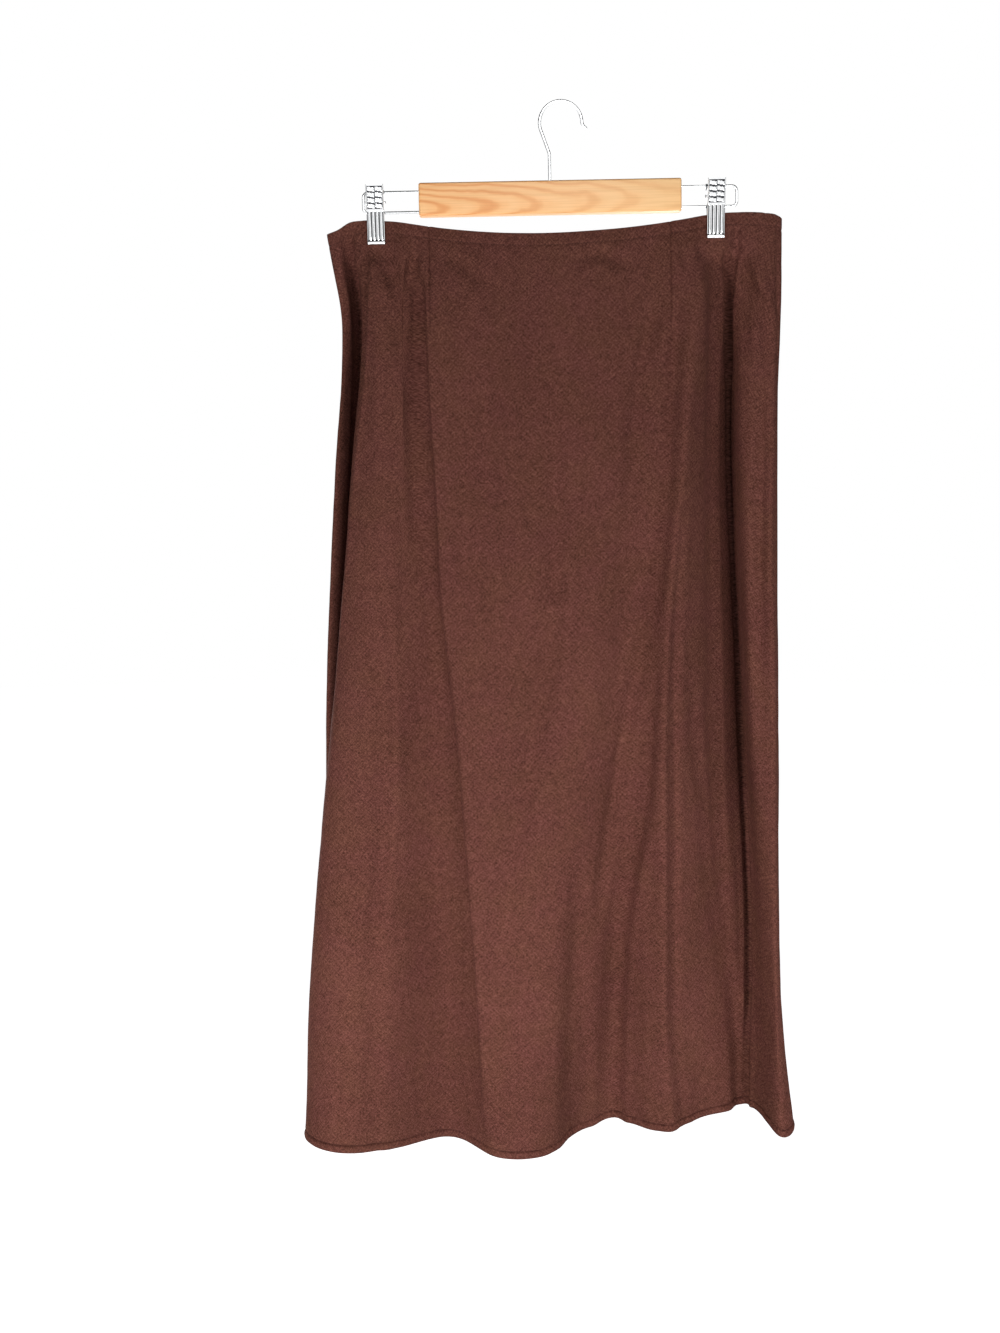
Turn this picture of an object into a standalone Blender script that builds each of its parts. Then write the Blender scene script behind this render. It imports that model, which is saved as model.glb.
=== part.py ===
"""An A-line midi skirt hanging from a wooden clip hanger.

Each piece that a maker would cut, sew or bend is its own object. The script's sizes are in
millimetres and become metres when a mesh is made. +Z is up, +X is the viewer's right, and the
skirt's front faces -Y. The origin is the point inside the top of the hook that sits on a rail.
"Left" and "right" are the viewer's.
"""

import math
from collections import namedtuple

import bmesh
import bpy
from mathutils import Vector

MM = 0.001  # a millimetre in metres

# ---- cloth ---------------------------------------------------------------------------------
CLOTH = 1.0  # thickness of a panel
TURNED_CLOTH = 0.8  # thickness of an edge that is turned in and pressed
GAP = 0.3  # air left between two pieces that touch
WAIST_TURN = 11.0  # how far the waist edge is turned in
HEM_TURN = 7.0  # how far the hem is turned up
SKIRT_LENGTH = 890.0  # waist edge to hem, straight down
ZIP_TOP, ZIP_BOTTOM = 30.0, 200.0  # below the waist edge
ZIP_TAPE = 0.8
ZIP_CLEARANCE = 1.2  # from the curved tape to the flat slider
SLIDER_WIDTH, SLIDER_THICKNESS, SLIDER_HEIGHT = 4.0, 1.6, 8.0

# ---- hanger --------------------------------------------------------------------------------
TILT = math.radians(1.08)  # the hanger hangs with its left end a little low
BAR_LENGTH, BAR_DEPTH, BAR_HEIGHT = 245.0, 12.0, 30.0
BAR_CENTRE_X, BAR_CENTRE_Z = -10.9, -86.0
BAR_ROUNDING = 2.0
HOOK_WIRE = 2.8
HOOK_RADIUS = 19.7  # to the middle of the wire
HOOK_NECK_Z = -46.0  # where the straight shank bends into the neck
HOOK_IN_BAR = 18.0
LOOP_WIRE = 2.6
LOOP_REACH = 52.0  # from the end of the bar to the middle of the closed end
LOOP_TOP_Z, LOOP_BOTTOM_Z = -78.2, -96.7
LOOP_CORNER = 4.5
LOOP_IN_BAR = 22.0
CLIP_X = {"left": -174.0, "right": 143.5}
CLIP_TOP_Z, CLIP_BOTTOM_Z = -73.3, -126.3
CLIP_PLATE = 0.8
PIN_DIAMETER = 2.2
SPRING_WIRE = 1.0
SPRING_RADIUS = 2.0
SPRING_TURNS = 5

# Half the thickness of the cloth where a clip holds it: two panels with their turned edges.
PINCH = CLOTH + GAP + TURNED_CLOTH + GAP / 2
CLIP_SHIFT = -TILT * CLIP_BOTTOM_Z  # how far the tilt carries the jaws to the right
# A clip holds the cloth flat this far to each side of its middle and below the waist edge, and
# its hold then fades over a further width and height.
HELD_WIDTH, FADE_WIDTH = 13.0, 9.0
HELD_HEIGHT, FADE_HEIGHT = 31.0, 12.0

# ---- the skirt's lines ---------------------------------------------------------------------
# A line runs down the cloth from the waist edge to the hem. Lines are listed round the skirt:
# across the front from left to right, then back behind it. Each row has the heights of the
# line's two ends, then where it lies at six levels as (across, forward).
LEVELS = (0.0, 0.10, 0.26, 0.52, 0.84, 1.0)  # shares of the skirt's length
Line = namedtuple("Line", "name top bottom waist yoke hip knee calf hem")
FRONT_ROWS = (
    ("left seam", -119.5, -1001, (-219, 0), (-206, -8), (-216, -22), (-229, -35), (-235, -50), (-241, -58)),
    ("left strip", -116.5, -1001, (-209, 3), (-201, -12), (-209, -28), (-222, -40), (-231, -46), (-237, -49)),
    ("left tuck", -109, -1001, (-195, 3), (-190, -31), (-199, -55), (-213, -63), (-229, -38), (-240, -28)),
    ("left ridge", -107, -1000, (-184, 2), (-182, 3), (-195, 4), (-219, 1), (-246, 0), (-254, -2)),
    ("ridge face", -107, -1000, (-178, 2), (-176, 9), (-186, 11), (-208, 15), (-231, 24), (-240, 27)),
    ("left flute", -107.5, -1000, (-165, 2), (-160, 13), (-164, 18), (-182, 23), (-205, 36), (-212, 42)),
    ("left slope", -108.5, -1004, (-150, 2), (-144, 14), (-146, 20), (-154, 23), (-161, 28), (-160, 23)),
    ("left trough", -110.5, -1006, (-137, 3), (-134, 5), (-131, 7), (-122, 6), (-107, -2), (-104, -10)),
    ("left dart", -113, -1009, (-120, 4), (-119, 13), (-113, 18), (-95, 24), (-75, 29), (-62, 31)),
    ("middle left", -118, -1011, (-70, 5), (-70, 13), (-68, 19), (-55, 25), (-41, 31), (-36, 31)),
    ("centre", -119, -1011, (-10, 6), (-10, 13), (-10, 20), (-9, 25), (-8, 27), (-8, 23)),
    ("middle right", -115.5, -1005, (45, 5), (45, 12), (42, 18), (30, 22), (20, 12), (20, -8)),
    ("right trough", -110.5, -997, (88, 4), (87, 7), (82, 9), (68, 6), (60, -14), (58, -30)),
    ("right dart", -105.5, -996, (118, 3), (121, 13), (115, 18), (100, 20), (98, 13), (110, 6)),
    ("right slope", -102.5, -990, (134, 2), (131, 12), (124, 14), (116, 14), (130, 3), (149, -18)),
    ("right lip", -101, -987, (145, 2), (147, -8), (146, -16), (148, -14), (166, -22), (178, -25)),
    ("right tuck", -100, -982, (154, 3), (165, -27), (171, -50), (186, -54), (198, -38), (197, -33)),
    ("right wall", -99.5, -986, (165, 2), (171, -9), (177, -12), (191, -15), (208, -9), (211, -4)),
    ("right flute", -99.5, -995, (180, 3), (181, -2), (188, -6), (206, -9), (217, 8), (221, 26)),
    ("right side", -100.5, -993, (193, 4), (194, 2), (201, -3), (214, -8), (224, -2), (236, 15)),
    ("right seam", -102, -989, (202, 4), (205, -1), (212, -12), (218, -24), (222, -30), (239, -10)),
)
BACK_ROWS = (
    ("right edge", -105, -988, (208, 0), (210, -5), (209, -20), (212, -38), (214, -49), (224, -38)),
    ("right side", -101.5, -989, (197, -5), (197, -17), (197, -42), (201, -60), (204, -67), (212, -66)),
    ("right flute", -100, -990, (172, -5), (165, -41), (171, -63), (182, -70), (188, -75), (193, -84)),
    ("right trough", -102, -994, (144, -3), (133, -15), (133, -13), (131, -17), (128, -24), (125, -26)),
    ("right dart", -110, -998, (100, -4), (100, -17), (97, -34), (93, -51), (87, -71), (80, -82)),
    ("middle right", -116, -1003, (50, -5), (50, -10), (50, -13), (48, -19), (42, -34), (34, -43)),
    ("centre", -120, -1008, (-10, -6), (-10, -20), (-12, -36), (-14, -53), (-17, -73), (-20, -84)),
    ("middle left", -118.5, -1008, (-70, -5), (-70, -10), (-70, -12), (-70, -16), (-70, -22), (-70, -25)),
    ("left dart", -113.5, -1005, (-120, -4), (-118, -18), (-118, -36), (-118, -53), (-121, -75), (-124, -86)),
    ("left trough", -109, -1003, (-158, -2), (-158, -9), (-159, -16), (-164, -23), (-169, -32), (-172, -36)),
    ("left flute", -110.5, -1002, (-192, -5), (-187, -44), (-191, -68), (-204, -77), (-215, -83), (-221, -94)),
    ("left edge", -117, -1002, (-209, -4), (-200, -23), (-213, -46), (-227, -58), (-232, -70), (-238, -80)),
)
LINES = [Line(*row) for row in FRONT_ROWS + BACK_ROWS]
RIGHT_SEAM = len(FRONT_ROWS) - 1  # the front's last line; the first is the left seam
FRONT_STEPS, BACK_STEPS = 2, 3  # columns of faces from one line to the next
ROWS_BELOW = (30.0, 55.0, 85.0, 120.0, 160.0, 200.0)  # rows of points near the waist
ROWS_TO_HEM = 13  # rows from there down to the hem's fold

Grid = namedtuple("Grid", "points normals depths")


# ---- small helpers -------------------------------------------------------------------------
def make_material(name, colour, roughness, metallic=0.0):
    """A Principled material with one colour."""
    material = bpy.data.materials.new(name)
    material.use_nodes = True
    shader = material.node_tree.nodes["Principled BSDF"]
    shader.inputs["Base Color"].default_value = (*colour, 1.0)
    shader.inputs["Roughness"].default_value = roughness
    shader.inputs["Metallic"].default_value = metallic
    return material


def add_object(name, data, material, parent=None):
    """Links an object for a mesh or curve, with its material and parent."""
    data.materials.append(material)
    piece = bpy.data.objects.new(name, data)
    bpy.context.scene.collection.objects.link(piece)
    piece.parent = parent
    return piece


def mesh_from(name, points, faces):
    """A mesh in metres from points in millimetres."""
    mesh = bpy.data.meshes.new(name)
    mesh.from_pydata([Vector(p) * MM for p in points], [], faces)
    mesh.validate()
    return mesh


def sheet_mesh(name, outer, inner, faces):
    """A closed wall from the faces of its outer side and the matching points of its inner side."""
    edges = {edge for face in faces for edge in zip(face, face[1:] + face[:1])}
    border = sorted((a, b) for a, b in edges if (b, a) not in edges)
    used = sorted({a for a, _ in edges})
    place = {a: k for k, a in enumerate(used)}
    layer = len(used)
    points = [outer[a] for a in used] + [inner[a] for a in used]
    closed = [tuple(place[a] for a in face) for face in faces]
    closed += [tuple(place[a] + layer for a in reversed(face)) for face in faces]
    closed += [(place[b], place[a], place[a] + layer, place[b] + layer) for a, b in border]
    return mesh_from(name, points, closed)


def smooth_edges(mesh, degrees):
    """Shades smooth, with edges sharper than the angle kept sharp."""
    mesh.shade_smooth()
    mesh.set_sharp_from_angle(angle=math.radians(degrees))


def ease(x):
    """0 below 0, 1 above 1, and smooth between."""
    x = min(max(x, 0.0), 1.0)
    return x * x * (3 - 2 * x)


def along(values, share):
    """Reads values that are given at LEVELS, with no overshoot between them."""
    steps = [b - a for a, b in zip(LEVELS, LEVELS[1:])]
    rises = [(b - a) / step for a, b, step in zip(values, values[1:], steps)]
    slopes = [rises[0]]
    for before, after in zip(rises, rises[1:]):
        slopes.append(0.0 if before * after <= 0 else 2 * before * after / (before + after))
    slopes.append(rises[-1])
    i = max(k for k in range(len(steps)) if LEVELS[k] <= share or k == 0)
    u = (share - LEVELS[i]) / steps[i]
    start = (1 + 2 * u) * (1 - u) ** 2 * values[i] + u * (1 - u) ** 2 * slopes[i] * steps[i]
    end = u * u * (3 - 2 * u) * values[i + 1] - u * u * (1 - u) * slopes[i + 1] * steps[i]
    return start + end


def between(before, start, end, after, u):
    """A point from start to end on a centripetal Catmull-Rom curve."""
    gaps = [max((b - a).length, 1e-6) ** 0.5 for a, b in ((before, start), (start, end), (end, after))]
    leave = (start - before) / gaps[0] - (end - before) / (gaps[0] + gaps[1]) + (end - start) / gaps[1]
    arrive = (end - start) / gaps[1] - (after - start) / (gaps[1] + gaps[2]) + (after - end) / gaps[2]
    leave, arrive = leave * gaps[1], arrive * gaps[1]
    return (
        start * ((1 + 2 * u) * (1 - u) ** 2)
        + leave * (u * (1 - u) ** 2)
        + end * (u * u * (3 - 2 * u))
        - arrive * (u * u * (1 - u))
    )


# ---- the form of the cloth -----------------------------------------------------------------
def line_point(line, share):
    """Where a line is, at a share of the way from the waist edge to the hem."""
    places = (line.waist, line.yoke, line.hip, line.knee, line.calf, line.hem)
    across = along([place[0] for place in places], share)
    forward = along([place[1] for place in places], share)
    return Vector((across, -forward, line.top + (line.bottom - line.top) * share))


def clip_hold(point, below_waist):
    """How firmly a clip holds the cloth at a point, from 0 to 1."""
    aside = min(abs(point.x - x - CLIP_SHIFT) for x in CLIP_X.values())
    across = ease((HELD_WIDTH + FADE_WIDTH - aside) / FADE_WIDTH)
    return across * ease((HELD_HEIGHT + FADE_HEIGHT - below_waist) / FADE_HEIGHT)


def ring(share):
    """The points once round the skirt at one level, starting at the left seam."""
    corners = [line_point(line, share) for line in LINES]
    count = len(corners)
    points = []
    for i in range(count):
        neighbours = [corners[(i + k) % count] for k in (-1, 0, 1, 2)]
        side, steps = (-1, FRONT_STEPS) if i < RIGHT_SEAM else (1, BACK_STEPS)
        for step in range(steps):
            point = between(*neighbours, step / steps)
            hold = clip_hold(point, share * SKIRT_LENGTH)
            point.y += (side * PINCH - point.y) * hold
            points.append(point)
    return points


def row_depths():
    """How far below the waist edge each row of points lies."""
    last = SKIRT_LENGTH - HEM_TURN
    start = ROWS_BELOW[-1]
    lower = [start + (last - start) * (k + 1) / ROWS_TO_HEM for k in range(ROWS_TO_HEM)]
    return [0.0, WAIST_TURN, *ROWS_BELOW, *lower, SKIRT_LENGTH]


def cloth_grid():
    """The outer face of the whole skirt: rows of points, and the outward normal at each."""
    depths = row_depths()
    rows = [ring(depth / SKIRT_LENGTH) for depth in depths]
    normals = []
    for j, row in enumerate(rows):
        above, below = rows[max(j - 1, 0)], rows[min(j + 1, len(rows) - 1)]
        normals.append([])
        for i, point in enumerate(row):
            after = (row[(i + 1) % len(row)] - point).normalized()
            before = (point - row[i - 1]).normalized()
            normals[j].append((below[i] - above[i]).cross(before + after).normalized())
    return Grid(rows, normals, depths)


def cloth_solid(name, grid, columns, rows, inset, thickness, material, seam_gap=0.0):
    """A wall of cloth that follows part of the grid.

    inset is how far its outer face lies inside the grid. seam_gap is the air left between this
    wall and the next one at its first and last columns, square to their mitred edges.
    """
    count = len(grid.points[0])
    outer, inner = [], []
    for j in rows:
        for k, column in enumerate(columns):
            i = column % count
            point, normal = grid.points[j][i].copy(), grid.normals[j][i]
            if seam_gap and k in (0, len(columns) - 1):
                toward = 1 if k == 0 else -1
                along_panel = grid.points[j][(i + toward) % count] - point
                past_seam = grid.points[j][(i - toward) % count] - point
                mitre = along_panel.angle(past_seam) / 2
                point += along_panel.normalized() * seam_gap / 2 / math.sin(mitre)
            outer.append(point - normal * inset)
            inner.append(point - normal * (inset + thickness))
    wide = len(columns)
    corners = [j * wide + k for j in range(len(rows) - 1) for k in range(wide - 1)]
    faces = [(a, a + wide, a + wide + 1) for a in corners]
    faces += [(a, a + wide + 1, a + 1) for a in corners]
    mesh = sheet_mesh(name, outer, inner, faces)
    smooth_edges(mesh, 50)
    return add_object(name, mesh, material)


def make_skirt(cloth, tape, metal):
    """Panels, turned edges and the concealed zip."""
    grid = cloth_grid()
    rows = range(len(grid.depths))
    seam = RIGHT_SEAM * FRONT_STEPS
    front = range(seam + 1)
    back = range(seam, len(grid.points[0]) + 1)
    inside = CLOTH + GAP
    for side, columns, short in (("front", front, 2), ("back", back, 5)):
        cloth_solid(side + "_panel", grid, columns, rows, 0.0, CLOTH, cloth, GAP)
        turned = columns[short:-short]
        cloth_solid("waist_turn_" + side, grid, turned, rows[:2], inside, TURNED_CLOTH, cloth)
        cloth_solid("hem_turn_" + side, grid, turned, rows[-2:], inside, TURNED_CLOTH, cloth)
    tape_rows = [j for j in rows if ZIP_TOP <= grid.depths[j] <= ZIP_BOTTOM]
    cloth_solid("side_zip_tape", grid, range(seam - 2, seam + 3), tape_rows, inside, ZIP_TAPE, tape)
    make_zip_slider(grid, seam, tape_rows[0], inside + ZIP_TAPE + ZIP_CLEARANCE, metal)


def make_zip_slider(grid, column, row, inset, metal):
    """The slider, drawn up to the top of the tape, inside the skirt."""
    normal = grid.normals[row][column]
    level = Vector((normal.x, normal.y, 0)).normalized()
    sideways = Vector((-level.y, level.x, 0))
    tape_end = grid.points[row][column] - level * (inset + SLIDER_THICKNESS / 2)
    below_tape_end = 1.0
    points = []
    for down, width in ((0, 0.7), (0.35, 1.0), (1, 0.6)):  # shares of its height and width
        z = -below_tape_end - down * SLIDER_HEIGHT
        for a, b in ((-1, -1), (1, -1), (1, 1), (-1, 1)):
            offset = sideways * a * width * SLIDER_WIDTH / 2 + level * b * SLIDER_THICKNESS / 2
            points.append(tape_end + offset + Vector((0, 0, z)))
    faces = [(3, 2, 1, 0), (8, 9, 10, 11)]
    for base in (0, 4):
        for k in range(4):
            a, b = base + k, base + (k + 1) % 4
            faces.append((a, b, b + 4, a + 4))
    add_object("side_zip_slider", mesh_from("side_zip_slider", points, faces), metal)


# ---- wires ---------------------------------------------------------------------------------
def rounded_route(corners, radius, steps=6):
    """A route through corner points, with each inner corner rounded to a radius."""
    route = [Vector(corners[0])]
    for before, corner, after in zip(corners, corners[1:], corners[2:]):
        before, corner, after = Vector(before), Vector(corner), Vector(after)
        back, on = (before - corner).normalized(), (after - corner).normalized()
        half = back.angle(on) / 2
        centre = corner + (back + on).normalized() * radius / math.sin(half)
        start = corner + back * radius / math.tan(half) - centre
        end = corner + on * radius / math.tan(half) - centre
        for k in range(steps + 1):
            route.append(centre + start.slerp(end, k / steps) * radius)
    route.append(Vector(corners[-1]))
    return route


def make_wire(name, route, diameter, sides, material, parent):
    """A round wire along a route of points."""
    curve = bpy.data.curves.new(name, "CURVE")
    curve.dimensions = "3D"
    curve.resolution_u = 1
    curve.bevel_depth = diameter / 2 * MM
    curve.bevel_resolution = sides // 2 - 2
    curve.use_fill_caps = True
    spline = curve.splines.new("POLY")
    spline.points.add(len(route) - 1)
    for knot, point in zip(spline.points, route):
        knot.co = (*(Vector(point) * MM), 1.0)
    return add_object(name, curve, material, parent)


def hook_route():
    """Shank, neck and bow of the hook, ending in a tip that turns outwards."""
    shank = Vector((BAR_CENTRE_X, 0, BAR_CENTRE_Z + BAR_HEIGHT / 2 - HOOK_IN_BAR))
    neck = Vector((BAR_CENTRE_X, 0, HOOK_NECK_Z))
    centre = Vector((0, 0, HOOK_WIRE / 2 - HOOK_RADIUS))
    to_neck = neck - centre
    touch = math.atan2(to_neck.z, to_neck.x) - math.acos(HOOK_RADIUS / to_neck.length)

    def on_bow(angle):
        return centre + Vector((math.cos(angle), 0, math.sin(angle))) * HOOK_RADIUS

    route = rounded_route([shank, neck, on_bow(touch)], radius=7)
    tip_start = math.radians(2)
    sweep = touch % math.tau - tip_start
    bow_steps = 20
    route += [on_bow(touch - sweep * k / bow_steps) for k in range(1, bow_steps + 1)]
    tip_radius, tip_turn, tip_steps = 7.0, math.radians(54), 4
    tip_centre = centre + (on_bow(tip_start) - centre) * (1 + tip_radius / HOOK_RADIUS)
    for k in range(1, tip_steps + 1):
        angle = tip_start + math.pi + tip_turn * k / tip_steps
        route.append(tip_centre + Vector((math.cos(angle), 0, math.sin(angle))) * tip_radius)
    route.append(route[-1] + (route[-1] - route[-2]).normalized() * 2)
    return route


def loop_route(side):
    """A U of wire from the end of the bar, with both legs inside the wood."""
    sign = -1 if side == "left" else 1
    bar_end = BAR_CENTRE_X + sign * BAR_LENGTH / 2
    inside = bar_end - sign * LOOP_IN_BAR
    outside = bar_end + sign * LOOP_REACH
    corners = [
        (inside, 0, LOOP_TOP_Z),
        (outside, 0, LOOP_TOP_Z),
        (outside, 0, LOOP_BOTTOM_Z),
        (inside, 0, LOOP_BOTTOM_Z),
    ]
    return rounded_route(corners, LOOP_CORNER)


# ---- hanger --------------------------------------------------------------------------------
def drill(name, centre, along_x, depth, diameter, parent):
    """A hidden round cutter for a hole in the bar."""
    mesh = bpy.data.meshes.new(name)
    form = bmesh.new()
    radius = diameter / 2 * MM
    bmesh.ops.create_cone(
        form, cap_ends=True, segments=12, radius1=radius, radius2=radius, depth=depth * MM
    )
    form.to_mesh(mesh)
    form.free()
    cutter = bpy.data.objects.new(name, mesh)
    bpy.context.scene.collection.objects.link(cutter)
    cutter.parent = parent
    cutter.location = Vector(centre) * MM
    cutter.rotation_euler = (0, math.pi / 2 if along_x else 0, 0)
    cutter.hide_render = True
    cutter.display_type = "WIRE"
    return cutter


def make_bar(wood, parent):
    """The wooden bar with rounded edges and the holes for its wires."""
    form = bmesh.new()
    bmesh.ops.create_cube(form, size=1)
    size = Vector((BAR_LENGTH, BAR_DEPTH, BAR_HEIGHT)) * MM
    bmesh.ops.scale(form, vec=size, verts=form.verts)
    bmesh.ops.bevel(
        form, geom=form.edges[:], offset=BAR_ROUNDING * MM, segments=2, profile=0.5, affect="EDGES"
    )
    mesh = bpy.data.meshes.new("hanger_bar")
    form.to_mesh(mesh)
    form.free()
    smooth_edges(mesh, 40)
    bar = add_object("hanger_bar", mesh, wood, parent)
    bar.location = Vector((BAR_CENTRE_X, 0, BAR_CENTRE_Z)) * MM
    holes = []
    for side, sign in (("left", -1), ("right", 1)):
        for level, z in (("top", LOOP_TOP_Z), ("bottom", LOOP_BOTTOM_Z)):
            centre = (BAR_CENTRE_X + sign * BAR_LENGTH / 2, 0, z)
            depth = 2 * (LOOP_IN_BAR + GAP)
            holes.append(drill(f"hole_{side}_{level}", centre, True, depth, LOOP_WIRE + 2 * GAP, parent))
    shank_top = (BAR_CENTRE_X, 0, BAR_CENTRE_Z + BAR_HEIGHT / 2)
    holes.append(drill("hole_hook", shank_top, False, 2 * (HOOK_IN_BAR + GAP), HOOK_WIRE + 2 * GAP, parent))
    for hole in holes:
        cut = bar.modifiers.new(hole.name, "BOOLEAN")
        cut.operation = "DIFFERENCE"
        cut.object = hole


# ---- clips ---------------------------------------------------------------------------------
# The side view of a jaw, top to bottom: height, and how far its outer face is from the middle.
JawRow = namedtuple("JawRow", "z out ear fluted")
JAW_ROWS = (
    JawRow(CLIP_TOP_Z, 12.5, False, 0.0),
    JawRow(-79.3, 11.2, False, 0.0),
    JawRow(-80.3, 11.0, True, 0.0),
    JawRow(-85.8, 9.8, True, 0.0),
    JawRow(-89.2, 9.1, True, 0.0),
    JawRow(-94.6, 8.0, True, 0.0),
    JawRow(-95.6, 7.8, False, 1.0),
    JawRow(-108.0, 5.6, False, 1.0),
    JawRow(-121.0, 4.6, False, 1.0),
    JawRow(-123.0, 5.0, False, 0.0),
    JawRow(CLIP_BOTTOM_Z, PINCH + GAP + CLIP_PLATE, False, 0.0),
)
FLUTES = 4
FLUTE_DEPTH = 0.9
# How far past the middle an ear's points lie. The last two are the edges of the pin hole.
EAR_REACH = (3.0, 1.6, -1.6)
PIN_ROW = 3  # the row whose lower side has the pin hole
PIN_Z = (JAW_ROWS[PIN_ROW].z + JAW_ROWS[PIN_ROW + 1].z) / 2


def jaw_row_points(row, x, half_width, sign, inset):
    """One row of a jaw's points, from the end of one ear across the plate to the other."""
    edge = half_width - inset
    points = [Vector((x + edge, -sign * reach, row.z)) for reach in EAR_REACH]
    for k in range(2 * FLUTES + 1):
        hollow = 0.0 if k % 2 else FLUTE_DEPTH * row.fluted
        points.append(Vector((x + edge * (1 - k / FLUTES), sign * (row.out - hollow - inset), row.z)))
    points += [Vector((x - edge, -sign * reach, row.z)) for reach in reversed(EAR_REACH)]
    return points


def make_jaw(name, half_width, sign, chrome, parent, x):
    """A jaw pressed from sheet: thumb pad, flutes, lip and two ears. sign is -1 at the front."""
    outer, inner = [], []
    for row in JAW_ROWS:
        outer += jaw_row_points(row, x, half_width, sign, 0.0)
        inner += jaw_row_points(row, x, half_width, sign, CLIP_PLATE)
    wide, ear = len(outer) // len(JAW_ROWS), len(EAR_REACH)
    faces = []
    for j, (upper, lower) in enumerate(zip(JAW_ROWS, JAW_ROWS[1:])):
        for k in range(wide - 1):
            in_ear = k < ear or k >= wide - 1 - ear
            pin_hole = j == PIN_ROW and k in (1, wide - 3)
            if pin_hole or (in_ear and not (upper.ear and lower.ear)):
                continue
            a = j * wide + k
            face = (a, a + 1, a + 1 + wide, a + wide)
            faces.append(face if sign < 0 else face[::-1])
    mesh = sheet_mesh(name, outer, inner, faces)
    smooth_edges(mesh, 35)
    add_object(name, mesh, chrome, parent)


def make_pin(name, chrome, parent, x):
    """The pin that both jaws turn on, with a head at each end."""
    half, head, head_radius = 8.7, 0.9, 1.9
    radius = PIN_DIAMETER / 2
    profile = ((-half - head, head_radius), (-half, head_radius), (-half, radius))
    profile += tuple((-place, size) for place, size in reversed(profile))
    segments = 12
    points, faces = [], []
    for place, size in profile:
        for k in range(segments):
            angle = math.tau * k / segments
            points.append((x + place, size * math.cos(angle), PIN_Z + size * math.sin(angle)))
    for ring_start in range(0, len(points) - segments, segments):
        for k in range(segments):
            a, b = ring_start + k, ring_start + (k + 1) % segments
            faces.append((a, b, b + segments, a + segments))
    faces.append(tuple(range(segments - 1, -1, -1)))
    faces.append(tuple(range(len(points) - segments, len(points))))
    mesh = mesh_from(name, points, faces)
    smooth_edges(mesh, 40)
    add_object(name, mesh, chrome, parent)


def spring_route(x):
    """A torsion spring round the pin, with a leg behind each thumb pad."""
    pitch, steps = 1.5, 10
    turns = SPRING_TURNS + 0.5
    start_x = x - pitch * turns / 2
    leg_y, leg_z = 10.0, -77.0
    route = [Vector((start_x, -leg_y, leg_z))]
    for k in range(int(turns * steps) + 1):
        angle = math.tau * k / steps
        y, z = -SPRING_RADIUS * math.cos(angle), PIN_Z - SPRING_RADIUS * math.sin(angle)
        route.append(Vector((start_x + pitch * k / steps, y, z)))
    route.append(Vector((start_x + pitch * turns, leg_y, leg_z)))
    return route


def make_clip(side, chrome, spring_steel, parent):
    """A spring clip that rides between the two legs of a wire loop."""
    x = CLIP_X[side]
    name = "clip_" + side
    make_jaw(name + "_front_jaw", 8.25, -1, chrome, parent, x)
    make_jaw(name + "_back_jaw", 7.1, 1, chrome, parent, x)
    make_pin(name + "_pin", chrome, parent, x)
    make_wire(name + "_spring", spring_route(x), SPRING_WIRE, 6, spring_steel, parent)


def make_hanger(wood, chrome, spring_steel):
    """The whole hanger, hung a little out of level from the hook."""
    level = bpy.data.objects.new("hanger_level", None)
    bpy.context.scene.collection.objects.link(level)
    level.rotation_euler = (0, -TILT, 0)
    make_bar(wood, level)
    make_wire("hanger_hook", hook_route(), HOOK_WIRE, 12, chrome, level)
    for side in ("left", "right"):
        make_wire("wire_loop_" + side, loop_route(side), LOOP_WIRE, 10, chrome, level)
        make_clip(side, chrome, spring_steel, level)


def main():
    for thing in list(bpy.data.objects):
        bpy.data.objects.remove(thing)
    cloth = make_material("brown_cloth", (0.13, 0.055, 0.038), 0.85)
    tape = make_material("zip_tape", (0.09, 0.04, 0.03), 0.8)
    slider = make_material("zip_metal", (0.12, 0.06, 0.045), 0.4, 0.6)
    wood = make_material("pale_wood", (0.86, 0.55, 0.26), 0.5)
    chrome = make_material("chrome", (0.75, 0.76, 0.78), 0.12, 1.0)
    spring_steel = make_material("spring_steel", (0.45, 0.45, 0.47), 0.3, 1.0)
    make_skirt(cloth, tape, slider)
    make_hanger(wood, chrome, spring_steel)


main()
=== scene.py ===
"""The looks of the A-line midi skirt on its clip hanger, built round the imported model.

Sizes are in millimetres unless a name or comment says otherwise, and become metres when a mesh is
made. +Z is up, +X is the viewer's right and the skirt's front faces -Y. "Left" and "right" are the
viewer's. "Below" is a distance down the cloth from its waist edge.
"""

import math
from collections import namedtuple

import bmesh
import bpy
import numpy as np
from mathutils import Matrix, Vector, noise


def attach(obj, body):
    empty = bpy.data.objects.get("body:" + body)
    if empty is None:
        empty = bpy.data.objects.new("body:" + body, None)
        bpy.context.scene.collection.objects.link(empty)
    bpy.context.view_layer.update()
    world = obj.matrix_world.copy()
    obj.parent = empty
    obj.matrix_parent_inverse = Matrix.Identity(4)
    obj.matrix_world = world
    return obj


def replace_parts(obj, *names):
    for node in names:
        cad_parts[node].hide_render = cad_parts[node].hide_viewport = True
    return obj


MM = 0.001  # a millimetre in metres

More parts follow.
